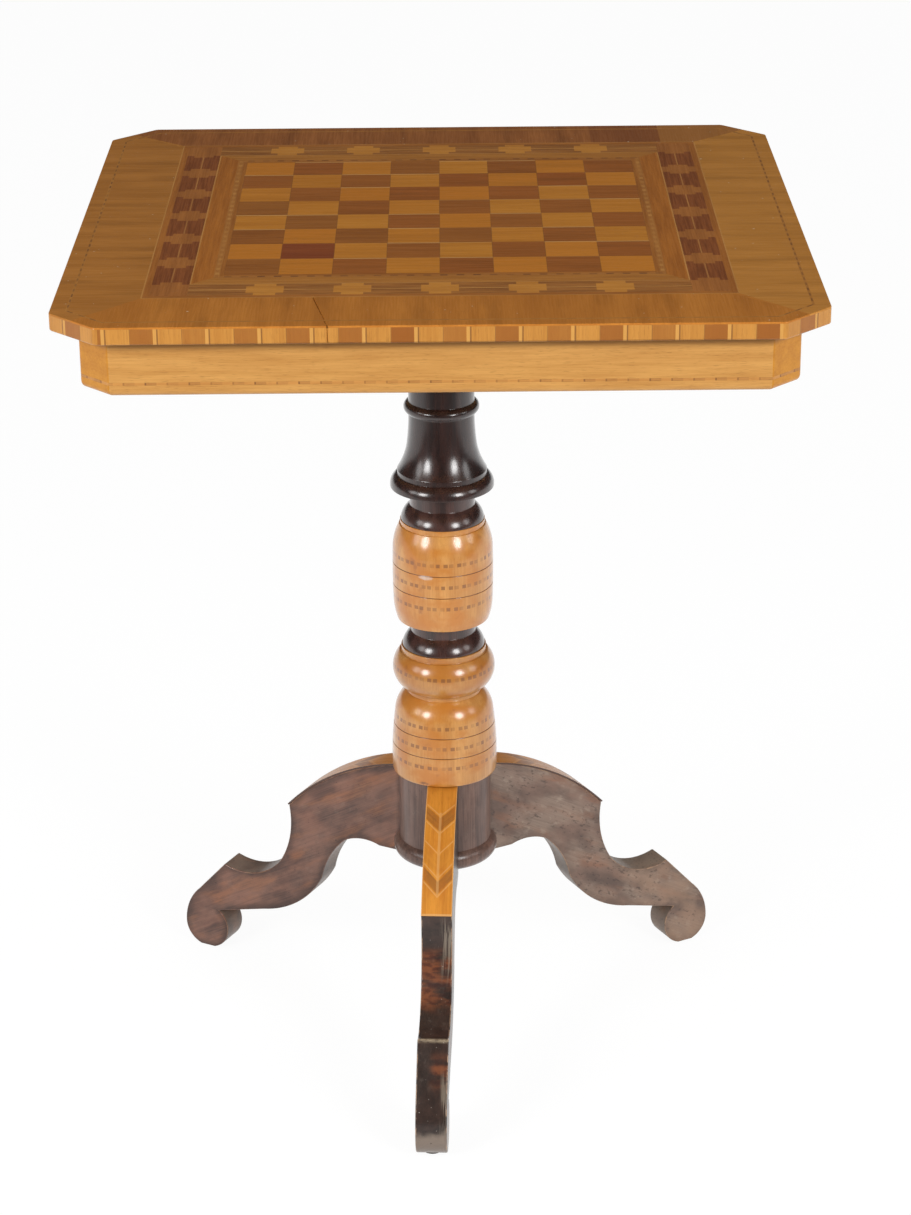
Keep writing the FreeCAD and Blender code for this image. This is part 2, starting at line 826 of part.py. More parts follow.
def head_block(holes):
    """Block on the pillar's tenon; its front upper edge is round about the pivot, so the top can turn."""
    body = doc.addObject("PartDesign::Body", "head_block_blank")
    nose = size("block_thickness") - size("pivot_rise")
    pivot = -size("pivot_reach")
    front = pivot - nose
    rear = size("block_rear")
    path = [
        (rear, block_foot, None),
        (rear, block_top, None),
        (pivot, block_top, (nose, 1)),
        (front, pivot_height, None),
        (front, block_foot, None),
    ]
    pad(body, "head_block", "YZ_Plane", path, size("block_width"), both_ways=True)
    tenon_hole = rod(
        "tenon_hole", size("head_tenon_radius") + size("glue_gap"), size("block_thickness"),
        (0, 0, block_foot), "+Z")
    hole_feet = {"right": block_half - size("pin_depth"), "left": -block_half}
    pin_holes = [
        rod(f"{side}_pin_hole", pin_hole, size("pin_depth"), (foot, pivot, pivot_height), "+X")
        for side, foot in hole_feet.items()
    ]
    half = size("keeper_width") / 2
    recess = box(
        "keeper_recess",
        (-half, rear - size("keeper_let_in"), block_top - size("keeper_thickness")),
        (half, rear, block_top))
    return keep(cut("head_block", body, [tenon_hole, *pin_holes, recess, holes]))


def pivot_pins():
    """Two turned pins, glued into the block's sides, that the bearers swing on."""
    length = size("pin_depth") - size("spigot_end_gap") + size("bearer_gap") + size("bearer_width")
    pivot = -size("pivot_reach")
    right = rod("right_pin", size("pin_radius"), length,
                (block_half - size("pin_depth") + size("spigot_end_gap"), pivot, pivot_height), "+X")
    left = rod("left_pin", size("pin_radius"), length,
               (-bearer_inner - size("bearer_width"), pivot, pivot_height), "+X")
    bundle = doc.addObject("Part::Compound", "pivot_pins")
    bundle.Links = [right, left]
    return keep(bundle)


def bearer(name, low_x, holes):
    """Rail under the top, bored for its pivot pin and for the screws that hold it."""
    rail = box(
        f"{name}_rail",
        (low_x, -bearer_half_length, core_foot - size("bearer_height")),
        (low_x + size("bearer_width"), bearer_half_length, core_foot))
    pivot = (low_x, -size("pivot_reach"), pivot_height)
    bore = rod(f"{name}_bore", pin_hole, size("bearer_width"), pivot, "+X")
    return keep(cut(name, rail, [bore, holes]))


# Catch

case_front = size("block_rear") + size("keeper_lip") + size("catch_gap")
case_low = core_foot - size("case_height")
stem_place = case_front + size("case_length") - size("case_screw_inset") * 2
bolt_low = bolt_middle - size("bolt_height") / 2


def catch_case(holes):
    """Brass case under the top: a tunnel for the bolt and a slot for the stem of its knob."""
    half = size("case_width") / 2
    rear = case_front + size("case_length")
    blank = box("catch_case_blank", (-half, case_front, case_low), (half, rear, core_foot))
    tunnel_half = size("bolt_width") / 2 + size("bolt_gap")
    tunnel_rise = size("bolt_height") / 2 + size("bolt_gap")
    tunnel = box(
        "bolt_tunnel",
        (-tunnel_half, case_front, bolt_middle - tunnel_rise),
        (tunnel_half, rear, bolt_middle + tunnel_rise))
    slot_half = size("stem_radius") + size("bolt_gap")
    slot = box(
        "stem_slot",
        (-slot_half, stem_place - size("bolt_travel") - slot_half, case_low),
        (slot_half, stem_place + slot_half, bolt_middle))
    return keep(cut("catch_case", blank, [tunnel, slot, holes]))


def catch_bolt():
    """Flat brass bolt, drawn back level with the front of its case."""
    half = size("bolt_width") / 2
    bar = box(
        "catch_bolt_bar",
        (-half, case_front, bolt_low),
        (half, case_front + size("bolt_length"), bolt_low + size("bolt_height")))
    socket_hole = rod(
        "stem_hole", size("stem_radius") + size("screw_gap"), size("stem_bite") + size("screw_gap"),
        (0, stem_place, bolt_low), "+Z")
    return keep(cut("catch_bolt", bar, [socket_hole]))


def bolt_knob():
    """Brass ball knob on the stem that draws the bolt."""
    ball = size("knob_radius")
    stem = size("stem_radius")
    neck = ball + root(ball * ball - stem * stem)
    path = [
        (0, 0, (ball, 1)),
        (stem, neck, None),
        (stem, neck + size("stem_length"), None),
        (0, neck + size("stem_length"), None),
    ]
    knob = place(turned("bolt_knob", path), bolt_low + size("stem_bite") - size("stem_length") - neck)
    knob.setExpression("Placement.Base.y", stem_place.text)
    return keep(knob)


def keeper_plate(holes):
    """Brass plate let into the top of the block; its lip stands out behind, and the bolt shoots under it."""
    rear = size("block_rear")
    half = size("keeper_width") / 2
    blank = box(
        "keeper_blank",
        (-half, rear - size("keeper_let_in"), block_top - size("keeper_thickness")),
        (half, rear + size("keeper_lip"), block_top))
    return keep(cut("keeper_plate", blank, [holes]))


# Top board, edge and frieze

SIDES = ("front", "right", "rear", "left")


def octagon(half, cant):
    """Corners of a square with canted corners, from the front side's left end round to the left."""
    straight = half - cant
    corners = [(-straight, -half), (straight, -half), (half, -straight), (half, straight)]
    return corners + [(-x, -y) for x, y in corners]


def inset(half, cant, depth):
    """Half width and cant of a canted square drawn in evenly by a depth."""
    return half - depth, cant - depth * (2 - math.sqrt(2))


def members(half, cant, outer_depth, inner_depth, low, high):
    """The eight mitred strips of a canted square, between two depths from its edge and two heights."""
    outside = octagon(*inset(half.value, cant.value, outer_depth))
    inside = octagon(*inset(half.value, cant.value, inner_depth))
    strips = []
    for index in range(len(outside)):
        after = (index + 1) % len(outside)
        strips.append(prism([outside[index], outside[after], inside[after], inside[index]], low, high))
    return strips


def sized_octagon(half, cant):
    """The canted square as a path of Sizes."""
    return [(x, y, None) for x, y in octagon(half, cant)]


def top_core(holes):
    """Softwood board that carries the veneers, the edge banding, the frieze and the bearers."""
    body = doc.addObject("PartDesign::Body", "top_core_blank")
    half, cant = inset(top_half, size("top_cant"), size("edge_band"))
    pad(body, "top_core", "XY_Plane", sized_octagon(half, cant), size("core_thickness"))
    place(body, core_foot)
    return keep(cut("top_core", body, holes))


def edge_banding():
    """Strips of banding round the edge of the board: one on each side and four on the cants."""
    strips = members(top_half, size("top_cant"), 0, size("edge_band").value, 0, size("core_thickness").value)
    for index, side in enumerate(SIDES):
        keep(group(f"{side}_edge_band", [strips[index * 2]], core_foot.value))
    keep(group("corner_edge_bands", strips[1::2], core_foot.value))


def frieze_board(side, turn):
    """One board of the frieze, mitred to the cants and grooved for its stringing."""
    body = doc.addObject("PartDesign::Body", f"{side}_frieze")
    cant = size("frieze_cant")
    inner_half, inner_cant = inset(frieze_half, cant, size("frieze_thickness"))
    outside = octagon(frieze_half, cant)
    inside = octagon(inner_half, inner_cant)
    path = [(x, y, None) for x, y in (outside[0], outside[1], inside[1], inside[0])]
    pad(body, f"{side}_frieze_board", "XY_Plane", path, size("frieze_height"))
    low = size("frieze_string_height") - size("string_width") / 2
    high = low + size("string_width")
    outer = -frieze_half - size("string_depth")
    inner = -frieze_half + size("string_depth")
    groove_path = [(outer, low, None), (inner, low, None), (inner, high, None), (outer, high, None)]
    groove = body.newObject("PartDesign::Pocket", f"{side}_frieze_groove")
    groove.Profile = draw(body, f"{side}_frieze_groove_outline", "YZ_Plane", groove_path)
    groove.SideType = "Symmetric"
    groove.Type = "ThroughAll"
    place(body, frieze_foot)
    body.Placement = Placement(body.Placement.Base, Rotation(UP, turn))
    return keep(body)


def frieze_strings():
    """Strips of dashed stringing let into the frieze, one on each board and cant."""
    low = (size("frieze_string_height") - size("string_width") / 2).value
    high = low + size("string_width").value
    return members(frieze_half, size("frieze_cant"), 0, size("string_depth").value, low, high)


def frieze_corners():
    """Four canted corner posts between the frieze boards."""
    posts = members(
        frieze_half, size("frieze_cant"), 0, size("frieze_thickness").value, 0, size("frieze_height").value)
    strings = Part.makeCompound(frieze_strings())
    return keep(group("frieze_corners", [post.cut(strings) for post in posts[1::2]], frieze_foot.value))


def glue_blocks():
    """Triangular blocks glued in the corner between the frieze and the board."""
    leg_length = size("glue_block_leg").value
    half = size("glue_block_length").value / 2
    wall = -frieze_inner.value
    blocks = []
    for turn in range(len(SIDES)):
        for step in (-1, 0, 1):
            middle = step * size("glue_block_spacing").value
            corners = [Vector(middle - half, wall, 0), Vector(middle - half, wall + leg_length, 0),
                       Vector(middle - half, wall, -leg_length)]
            face = Part.Face(Part.makePolygon(corners + corners[:1]))
            block = face.extrude(Vector(2 * half, 0, 0))
            block.rotate(Vector(), UP, 360 / len(SIDES) * turn)
            blocks.append(block)
    return keep(group("glue_blocks", blocks, core_foot.value))


# Inlay of the top, all of one veneer thickness

veneer = size("veneer").value
shift = size("board_shift").value


def inlay(name, solids):
    """Group of veneers laid on the board, centred on the chess board."""
    feature = group(name, solids, core_top.value)
    feature.Placement.Base = Vector(0, shift, core_top.value)
    return keep(feature)


def quarter_turn(points, count):
    """An outline on the front side, turned to the right, rear or left by a number of quarter turns."""
    for _ in range(count):
        points = [(-y, x) for x, y in points]
    return points


def frame_strips(name, inner, outer):
    """Four mitred strips round a square opening."""
    front = [(-outer, -outer), (outer, -outer), (inner, -inner), (-inner, -inner)]
    inlay(name, [prism(quarter_turn(front, turn), 0, veneer) for turn in range(len(SIDES))])


def chess_squares():
    """Light squares, dark squares and the one that was replaced."""
    side = size("square").value
    corner = -side * SQUARES / 2
    light = []
    dark = []
    for file in range(SQUARES):
        for rank in range(SQUARES):
            x = corner + file * side
            y = corner + rank * side
            square = prism([(x, y), (x + side, y), (x + side, y + side), (x, y + side)], 0, veneer)
            if (file, rank) == REPLACED_SQUARE:
                inlay("replaced_square", [square])
            elif (file + rank) % 2:
                light.append(square)
            else:
                dark.append(square)
    inlay("light_squares", light)
    inlay("dark_squares", dark)


def pattern_band(inner):
    """Band of paired dark blocks, light spools whose fingers reach between them, and light corners."""
    outer = inner + size("pattern_band").value
    middle = (inner + outer) / 2
    finger = size("spool_finger").value
    tab = size("block_tab").value
    spool = size("spool_length").value
    line = size("centre_line").value / 2
    block = (2 * inner - (PATTERN_BLOCKS - 1) * spool) / PATTERN_BLOCKS
    halves = []
    lines = []
    spools = []
    for turn in range(len(SIDES)):
        # The corners belong to the side bands, so only their end blocks take a corner's finger.
        end_finger = finger if turn % 2 else 0.0
        for index in range(PATTERN_BLOCKS):
            start = -inner + index * (block + spool)
            end = start + block
            near = start + (finger if index else end_finger)
            far = end - (finger if index < PATTERN_BLOCKS - 1 else end_finger)
            low_line = -middle - line
            high_line = -middle + line
            lower = [(start, -outer), (end, -outer), (end, -outer + tab), (far, -outer + tab),
                     (far, low_line), (near, low_line), (near, -outer + tab), (start, -outer + tab)]
            upper = [(x, -2 * middle - y) for x, y in reversed(lower)]
            centre = [(near, low_line), (far, low_line), (far, high_line), (near, high_line)]
            halves += [quarter_turn(lower, turn), quarter_turn(upper, turn)]
            lines.append(quarter_turn(centre, turn))
        for index in range(PATTERN_BLOCKS - 1):
            start = -inner + index * (block + spool) + block
            outline = spool_outline(start, start + spool, inner, outer, finger, finger)
            spools.append(quarter_turn(outline, turn))
        if turn % 2:
            spools.append(quarter_turn(spool_outline(-outer, -inner, inner, outer, 0.0, finger), turn))
            spools.append(quarter_turn(spool_outline(inner, outer, inner, outer, finger, 0.0), turn))
    inlay("pattern_blocks", [prism(clean(points), 0, veneer) for points in halves])
    inlay("pattern_lines", [prism(points, 0, veneer) for points in lines])
    inlay("pattern_spools", [prism(clean(points), 0, veneer) for points in spools])


def spool_outline(start, end, inner, outer, before, after):
    """Light piece across the front band, with a finger before its start and one after its end."""
    tab = size("block_tab").value
    return [(start, -outer), (end, -outer), (end, -outer + tab), (end + after, -outer + tab),
            (end + after, -inner - tab), (end, -inner - tab), (end, -inner), (start, -inner),
            (start, -inner - tab), (start - before, -inner - tab), (start - before, -outer + tab),
            (start, -outer + tab)]


def clean(points):
    """Drops each corner that falls on the one before it or in line with its neighbours."""
    distinct = [point for index, point in enumerate(points) if point != points[index - 1]]
    corners = []
    for index, point in enumerate(distinct):
        before = distinct[index - 1]
        after = distinct[(index + 1) % len(distinct)]
        first = (point[0] - before[0], point[1] - before[1])
        second = (after[0] - point[0], after[1] - point[1])
        if abs(first[0] * second[1] - first[1] * second[0]) > STRAIGHT:
            corners.append(point)
    return corners


def outer_borders(inner):
    """Four crossbanded borders, mitred to the middle of each cant and grooved for their stringing."""
    half = top_half.value
    cant = size("top_cant").value
    depth = size("border_string_inset").value
    width = size("string_width").value
    low = veneer - size("string_depth").value
    strings = members(top_half, size("top_cant"), depth, depth + width, low, veneer)
    groove = Part.makeCompound(strings)
    outside = octagon(half, cant)
    corners = [(-inner, -inner), (inner, -inner), (inner, inner), (-inner, inner)]
    opening = [(x, y + shift) for x, y in corners]
    for index, side in enumerate(SIDES):
        first = outside[index * 2]
        second = outside[index * 2 + 1]
        before = outside[index * 2 - 1]
        after = outside[(index * 2 + 2) % len(outside)]
        start = ((before[0] + first[0]) / 2, (before[1] + first[1]) / 2)
        end = ((second[0] + after[0]) / 2, (second[1] + after[1]) / 2)
        points = [start, first, second, end, opening[(index + 1) % len(SIDES)], opening[index]]
        border = prism(points, 0, veneer).cut(groove)
        keep(group(f"{side}_border", [border], core_top.value))
    keep(group("border_stringing", strings, core_top.value))


def top_inlay():
    """Every veneer of the top, from the squares outwards."""
    chess_squares()
    reach = board_half.value
    for name in ("surround", "ladder", "inner_border", "inner_line"):
        further = reach + size(name).value
        frame_strips(f"{name}_strips", reach, further)
        reach = further
    pattern_band(inner_frame.value)
    reach = (inner_frame + size("pattern_band")).value
    for name in ("outer_stripe", "outer_line"):
        further = reach + size(name).value
        frame_strips(f"{name}_strips", reach, further)
        reach = further
    outer_borders(border_opening.value)


# Assembly

leg_angles = {side: size(f"{side}_leg_angle") for side in ("front", "right", "left")}

hub(leg_angles)
for leg_side, leg_angle in leg_angles.items():
    leg(leg_side, leg_angle)
foot_pads(leg_angles)
barrel("lower_barrel", lower_barrel_foot, grip)
bobbin(bobbin_foot, size("middle_reel_height") + grip)
reel("middle_reel", size("middle_reel_height"), middle_reel_foot)
barrel("upper_barrel", upper_barrel_foot, size("upper_reel_height") + grip)
reel("upper_reel", size("upper_reel_height"), upper_reel_foot)
pillar_head()

bearer_holes = screws(
    "bearer_screws", bearer_screw_feet(), UP, size("bearer_height").value, size("bearer_screw_recess").value)
case_holes = screws("case_screws", case_screw_feet(), UP, size("case_height").value)
keeper_holes = screws("keeper_screws", keeper_screw_feet(), DOWN, size("keeper_thickness").value)

head_block(keeper_holes)
pivot_pins()
keeper_plate(keeper_holes)
bearer("right_bearer", bearer_inner, bearer_holes)
bearer("left_bearer", -bearer_inner - size("bearer_width"), bearer_holes)
catch_case(case_holes)
catch_bolt()
bolt_knob()

top_core([bearer_holes, case_holes])
edge_banding()
for quarter, frieze_side in enumerate(SIDES):
    frieze_board(frieze_side, 360 / len(SIDES) * quarter)
frieze_corners()
keep(group("frieze_stringing", frieze_strings(), frieze_foot.value))
glue_blocks()
top_inlay()

# Checks before anything is written

doc.recompute()
for item in doc.Objects:
    if "Invalid" in item.State or "Error" in item.State:
        raise RuntimeError(f"{item.Label} failed to build: {item.State}")
for piece in pieces:
    if piece.Shape.isNull() or not piece.Shape.isValid():
        raise RuntimeError(f"{piece.Label} has no valid shape")

os.makedirs("parts", exist_ok=True)
for piece in pieces:
    piece.Shape.exportStep(f"parts/{piece.Label}.step")
    print(piece.Label, len(piece.Shape.Solids), round(piece.Shape.Volume))
print(len(pieces), "nodes")
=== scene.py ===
"""Looks of a tilt-top chess table: eased shapes, inlay and wood finishes, studio light and camera.

Shapes and the studio are measured in metres, and rims and finishes in millimetres.
"""
import json
import logging
import math
from abc import ABC, abstractmethod
from collections.abc import Callable, Iterable, Mapping, Sequence
from dataclasses import dataclass, field, replace
from enum import Enum
from functools import reduce
from typing import ClassVar

import bmesh
import bpy
from mathutils import Matrix, Vector


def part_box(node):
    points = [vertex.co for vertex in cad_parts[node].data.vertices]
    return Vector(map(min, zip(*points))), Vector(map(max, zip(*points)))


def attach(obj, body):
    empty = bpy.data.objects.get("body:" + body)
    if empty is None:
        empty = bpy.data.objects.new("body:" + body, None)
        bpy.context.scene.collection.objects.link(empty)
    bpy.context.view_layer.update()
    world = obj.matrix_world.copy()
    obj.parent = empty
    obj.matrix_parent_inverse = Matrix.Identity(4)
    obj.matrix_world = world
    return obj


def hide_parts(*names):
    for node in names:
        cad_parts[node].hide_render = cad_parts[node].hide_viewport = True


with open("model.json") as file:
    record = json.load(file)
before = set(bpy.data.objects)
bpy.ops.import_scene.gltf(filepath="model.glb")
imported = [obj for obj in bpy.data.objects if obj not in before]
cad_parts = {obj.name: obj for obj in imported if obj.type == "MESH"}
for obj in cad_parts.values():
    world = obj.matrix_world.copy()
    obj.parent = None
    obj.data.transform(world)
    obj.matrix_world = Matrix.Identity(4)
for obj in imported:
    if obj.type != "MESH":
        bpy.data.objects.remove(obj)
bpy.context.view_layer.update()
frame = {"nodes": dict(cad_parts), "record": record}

MM = 0.001
TOUCH = 1e-6
SHARP = math.radians(28)
SMOOTH = math.radians(50)
FLAT = math.radians(0.3)
RUBBED_CORNER = (0.53, 0.6)
OUTLINE = "outline"
WHITE = (1.0, 1.0, 1.0, 1.0)
LOG = logging.getLogger("chess_table")

BODY_OF = {node: body for body, nodes in frame["record"]["behaviour"]["bodies"].items() for node in nodes}

Triple = tuple[float, float, float]
Colour = Triple
Point = tuple[float, float]


# Shader nodes


class Socket:
    """An output of a shader node, on which values are worked out as Python expressions."""

    def __init__(self, graph: "Graph", source: bpy.types.NodeSocket) -> None:
        """Keep the graph and the node's output."""
        self.graph = graph
        self.source = source

    def _math(self, operation: str, *values: "Socket | float") -> "Socket":
        """Add a Math node.

        Args:
            operation: the node's operation.
            values: its inputs, in order.

        Returns:
            The node's output.
        """
        return self.graph.make("ShaderNodeMath", {"operation": operation}, dict(enumerate(values)))

    def __add__(self, other: "Socket | float") -> "Socket":
        """Add a value."""
        return self._math("ADD", self, other)

    __radd__ = __add__

    def __sub__(self, other: "Socket | float") -> "Socket":
        """Take a value away."""
        return self._math("SUBTRACT", self, other)

    def __rsub__(self, other: "Socket | float") -> "Socket":
        """Take this from a value."""
        return self._math("SUBTRACT", other, self)

    def __mul__(self, other: "Socket | float") -> "Socket":
        """Multiply by a value."""
        return self._math("MULTIPLY", self, other)

    __rmul__ = __mul__

    def __truediv__(self, other: "Socket | float") -> "Socket":
        """Divide by a value."""
        return self._math("DIVIDE", self, other)

    def __rtruediv__(self, other: "Socket | float") -> "Socket":
        """Divide a value by this."""
        return self._math("DIVIDE", other, self)

    def __gt__(self, other: "Socket | float") -> "Socket":
        """Give 1 where this is the greater, and 0 elsewhere."""
        return self._math("GREATER_THAN", self, other)

    def __lt__(self, other: "Socket | float") -> "Socket":
        """Give 1 where this is the lesser, and 0 elsewhere."""
        return self._math("LESS_THAN", self, other)

    def __abs__(self) -> "Socket":
        """Drop the sign."""
        return self._math("ABSOLUTE", self)

    def floor(self) -> "Socket":
        """Round down."""
        return self._math("FLOOR", self)

    def fraction(self) -> "Socket":
        """Keep what is left after rounding down."""
        return self._math("FRACT", self)

    def least(self, other: "Socket | float") -> "Socket":
        """Keep the smaller of two values."""
        return self._math("MINIMUM", self, other)

    def most(self, other: "Socket | float") -> "Socket":
        """Keep the larger of two values."""
        return self._math("MAXIMUM", self, other)

    def turn_to(self, other: "Socket | float") -> "Socket":
        """Give the angle whose tangent is this over the other."""
        return self._math("ARCTAN2", self, other)

    def step(self, low: float, high: float) -> "Socket":
        """Rise smoothly from 0 at low to 1 at high."""
        inputs = {"Value": self, "From Min": low, "From Max": high}
        return self.graph.make("ShaderNodeMapRange", {"interpolation_type": "SMOOTHSTEP"}, inputs)

    def between(self, low: float, high: float, soft: float) -> "Socket":
        """Give 1 between low and high, with edges that are soft by that much."""
        return self.step(low - soft, low + soft) * (1 - self.step(high - soft, high + soft))

    def toward(self, other: "Socket | float", share: "Socket") -> "Socket":
        """Move to another value by a share from 0 to 1."""
        return self + (other - self) * share

    def raised(self, least: float) -> "Socket":
        """Lift values from 0 to 1 so that they start at the least."""
        return least + (1 - least) * self

    def blend(self, other: "Tone", share: "Value") -> "Socket":
        """Mix this colour with a share of another."""
        return self.graph.mix(share, self, other)

    def pick(self, first: "Tone", second: "Tone") -> "Socket":
        """Mix two colours with this as the share of the second."""
        return self.graph.mix(self, first, second)


Value = Socket | float
Tone = Socket | Colour
Place = tuple[Socket, Socket, Socket]
Spread = tuple[Socket, Value, Value]


class Graph:
    """The nodes of one material or world."""

    def __init__(self, tree: bpy.types.NodeTree) -> None:
        """Start from an empty tree."""
        self.tree = tree
        tree.nodes.clear()

    def node(
        self,
        kind: str,
        settings: Mapping[str, object],
        inputs: Mapping[object, object],
    ) -> bpy.types.Node:
        """Add a node.

        Args:
            kind: the node's type.
            settings: its settings, set first.
            inputs: values, colours or sockets by the input's name or number.

        Returns:
            The node.
        """
        node = self.tree.nodes.new(kind)
        for name, value in settings.items():
            setattr(node, name, value)
        for key, value in inputs.items():
            if isinstance(value, Socket):
                self.tree.links.new(value.source, node.inputs[key])
            else:
                node.inputs[key].default_value = value
        return node

    def make(
        self,
        kind: str,
        settings: Mapping[str, object],
        inputs: Mapping[object, object],
        output: str | int = 0,
    ) -> Socket:
        """Add a node and take one of its outputs.

        Args:
            kind: the node's type.
            settings: its settings.
            inputs: its inputs by name or number.
            output: the output's name or number.

        Returns:
            The output.
        """
        return Socket(self, self.node(kind, settings, inputs).outputs[output])

    def split(self, vector: Socket) -> Place:
        """Take a vector apart into x, y and z."""
        node = self.node("ShaderNodeSeparateXYZ", {}, {0: vector})
        return tuple(Socket(self, output) for output in node.outputs)

    def place(self) -> Place:
        """Give the surface point's rest place.

        Returns:
            x, y and z in millimetres.
        """
        metres = self.make("ShaderNodeTexCoord", {}, {}, "Object")
        scaled = self.make("ShaderNodeVectorMath", {"operation": "SCALE"}, {0: metres, "Scale": 1 / MM})
        return self.split(scaled)

    def facing(self) -> Place:
        """Give the surface's rest normal."""
        return self.split(self.make("ShaderNodeTexCoord", {}, {}, "Normal"))

    def arris(self) -> Socket:
        """Give a mask of outer corners, where a polish is rubbed thin."""
        return self.make("ShaderNodeNewGeometry", {}, {}, "Pointiness").step(*RUBBED_CORNER)

    def vector(self, x: Value, y: Value, z: Value) -> Socket:
        """Join three values to a vector."""
        return self.make("ShaderNodeCombineXYZ", {}, {0: x, 1: y, 2: z})

    def vectors(self, operation: str, first: Socket, second: Triple) -> Socket:
        """Work out a vector from another and a fixed one."""
        return self.make("ShaderNodeVectorMath", {"operation": operation}, {0: first, 1: second})

    def random(self, x: Value, y: Value, seed: float) -> Socket:
        """Give one value from 0 to 1 for each whole-numbered place."""
        return self.make("ShaderNodeTexWhiteNoise", {}, {"Vector": self.vector(x, y, seed)})

    def mix(self, share: Value, first: Tone, second: Tone) -> Socket:
        """Mix two colours.

        Args:
            share: how much of the second colour, from 0 to 1.
            first: a colour or a socket.
            second: a colour or a socket.

        Returns:
            The mixed colour.
        """
        ends = [end if isinstance(end, Socket) else (*end, 1.0) for end in (first, second)]
        return self.make("ShaderNodeMix", {"data_type": "RGBA"}, {0: share, 6: ends[0], 7: ends[1]}, 2)

    def stored(self, name: str) -> Socket:
        """Give a value stored in the mesh, 0 where there is none."""
        return self.make("ShaderNodeAttribute", {"attribute_name": name}, {}, "Fac")

    def layer(self, share: Socket, first: Socket, second: Socket) -> Socket:
        """Mix two shaders by the share of the second."""
        return self.make("ShaderNodeMixShader", {}, {0: share, 1: first, 2: second})

    def surface(self, base: Socket, gloss: "Gloss", height: Socket, roughness: Value) -> None:
        """Finish a material.

        Args:
            base: the colour.
            gloss: how light comes off it.
            height: relief from 0 to 1.
            roughness: spread of the reflection.
        """
        relief = {"Height": height, "Strength": 1.0, "Distance": gloss.relief * MM}
        bump = self.make("ShaderNodeBump", {}, relief)
        shader = self.make("ShaderNodeBsdfPrincipled", {}, {
            "Base Color": base,
            "Roughness": roughness,
            "Metallic": gloss.metallic,
            "Specular IOR Level": gloss.specular,
            "Coat Weight": gloss.coat,
            "Coat Roughness": gloss.coat_roughness,
            "Normal": bump,
        })
        self.node("ShaderNodeOutputMaterial", {}, {"Surface": shader})


# Finishes


class Run(Enum):
    """The way that the grain of a piece runs."""

    ALONG_X = "along x"
    ALONG_Y = "along y"
    UPRIGHT = "upright"
    WITH_SIDE = "with the side of the top"
    ACROSS_SIDE = "across the side of the top"


@dataclass(frozen=True)
class Gloss:
    """How light comes off a surface.

    Attributes:
        roughness: spread of the reflection.
        coat: weight of the clear polish.
        coat_roughness: spread of the polish's own reflection.
        specular: strength of the reflection under the polish.
        metallic: 1 for metal.
        relief: depth of the grain that can be felt, millimetres.
    """

    roughness: float
    coat: float = 0.0
    coat_roughness: float = 0.1
    specular: float = 0.5
    metallic: float = 0.0
    relief: float = 0.03


TOP_POLISH = Gloss(roughness=0.42, coat=0.04, coat_roughness=0.2, specular=0.2)
EDGE_POLISH = Gloss(roughness=0.36, coat=0.2, coat_roughness=0.14, specular=0.25)
TURNED_POLISH = Gloss(roughness=0.34, coat=1.0, coat_roughness=0.18, specular=0.3, relief=0.006)
BLACK_POLISH = Gloss(roughness=0.3, coat=1.0, coat_roughness=0.19, specular=0.3, relief=0.003)
WORN_POLISH = Gloss(roughness=0.36, coat=0.2, coat_roughness=0.14, specular=0.35, relief=0.05)
BARE_WOOD = Gloss(roughness=0.75, specular=0.3, relief=0.08)


def dimmed(colour: Colour, share: float) -> Colour:
    """Give a share of a colour's brightness."""
    return tuple(channel * share for channel in colour)


def either(masks: Iterable[Socket]) -> Socket:
    """Give the strongest of several masks."""
    return reduce(Socket.most, masks)


@dataclass(frozen=True)
class Pattern:
    """Noise drawn out over a surface, and the mask that it rises to.

    Attributes:
        waves: length of its waves along the three lengths of a place, millimetres.
        low: noise below which the mask is 0.
        high: noise above which the mask is 1.
        detail: how many finer layers it has.
        shift: how many waves it is moved, which sets it apart from other patterns.
    """

    waves: Triple
    low: float = 0.0
    high: float = 1.0
    detail: float = 4.0
    shift: Triple = (0.0, 0.0, 0.0)

    def scaled(self, factor: float) -> "Pattern":
        """Give the pattern with longer or shorter waves."""
        return replace(self, waves=tuple(wave * factor for wave in self.waves))

    def noise(self, place: Spread) -> Socket:
        """Give the noise itself.

        Args:
            place: three lengths in millimetres, of which the first is a socket.

        Returns:
            Smooth values from 0 to 1.
        """
        graph = place[0].graph
        drawn = graph.vectors("DIVIDE", graph.vector(*place), self.waves)
        moved = graph.vectors("ADD", drawn, self.shift)
        return graph.make("ShaderNodeTexNoise", {}, {"Vector": moved, "Scale": 1.0, "Detail": self.detail})

    def mask(self, place: Spread) -> Socket:
        """Give the mask, which rises smoothly with the noise."""
        return self.noise(place).step(self.low, self.high)


@dataclass(frozen=True)
class Tint:
    """A colour that is laid over another where a mask says.

    Attributes:
        colour: the colour.
        strength: its share where the mask is 1.
    """

    colour: Colour
    strength: float

    def lay(self, base: Socket, mask: Socket) -> Socket:
        """Lay the colour over a base colour."""
        return base.blend(self.colour, mask * self.strength)


@dataclass(frozen=True)
class Finish(ABC):
    """A finish that paints one material.

    Attributes:
        name: the material's name.
        made: the materials made so far, by name.
    """

    name: str
    made: ClassVar[dict[str, bpy.types.Material]] = {}

    def material(self) -> bpy.types.Material:
        """Make the finish's material on first use.

        Returns:
            The material.
        """
        if self.name not in self.made:
            material = bpy.data.materials.new(self.name)
            material.use_nodes = True
            self.paint(Graph(material.node_tree))
            self.made[self.name] = material
        return self.made[self.name]

    @abstractmethod
    def paint(self, graph: Graph) -> None:
        """Add the material's nodes."""


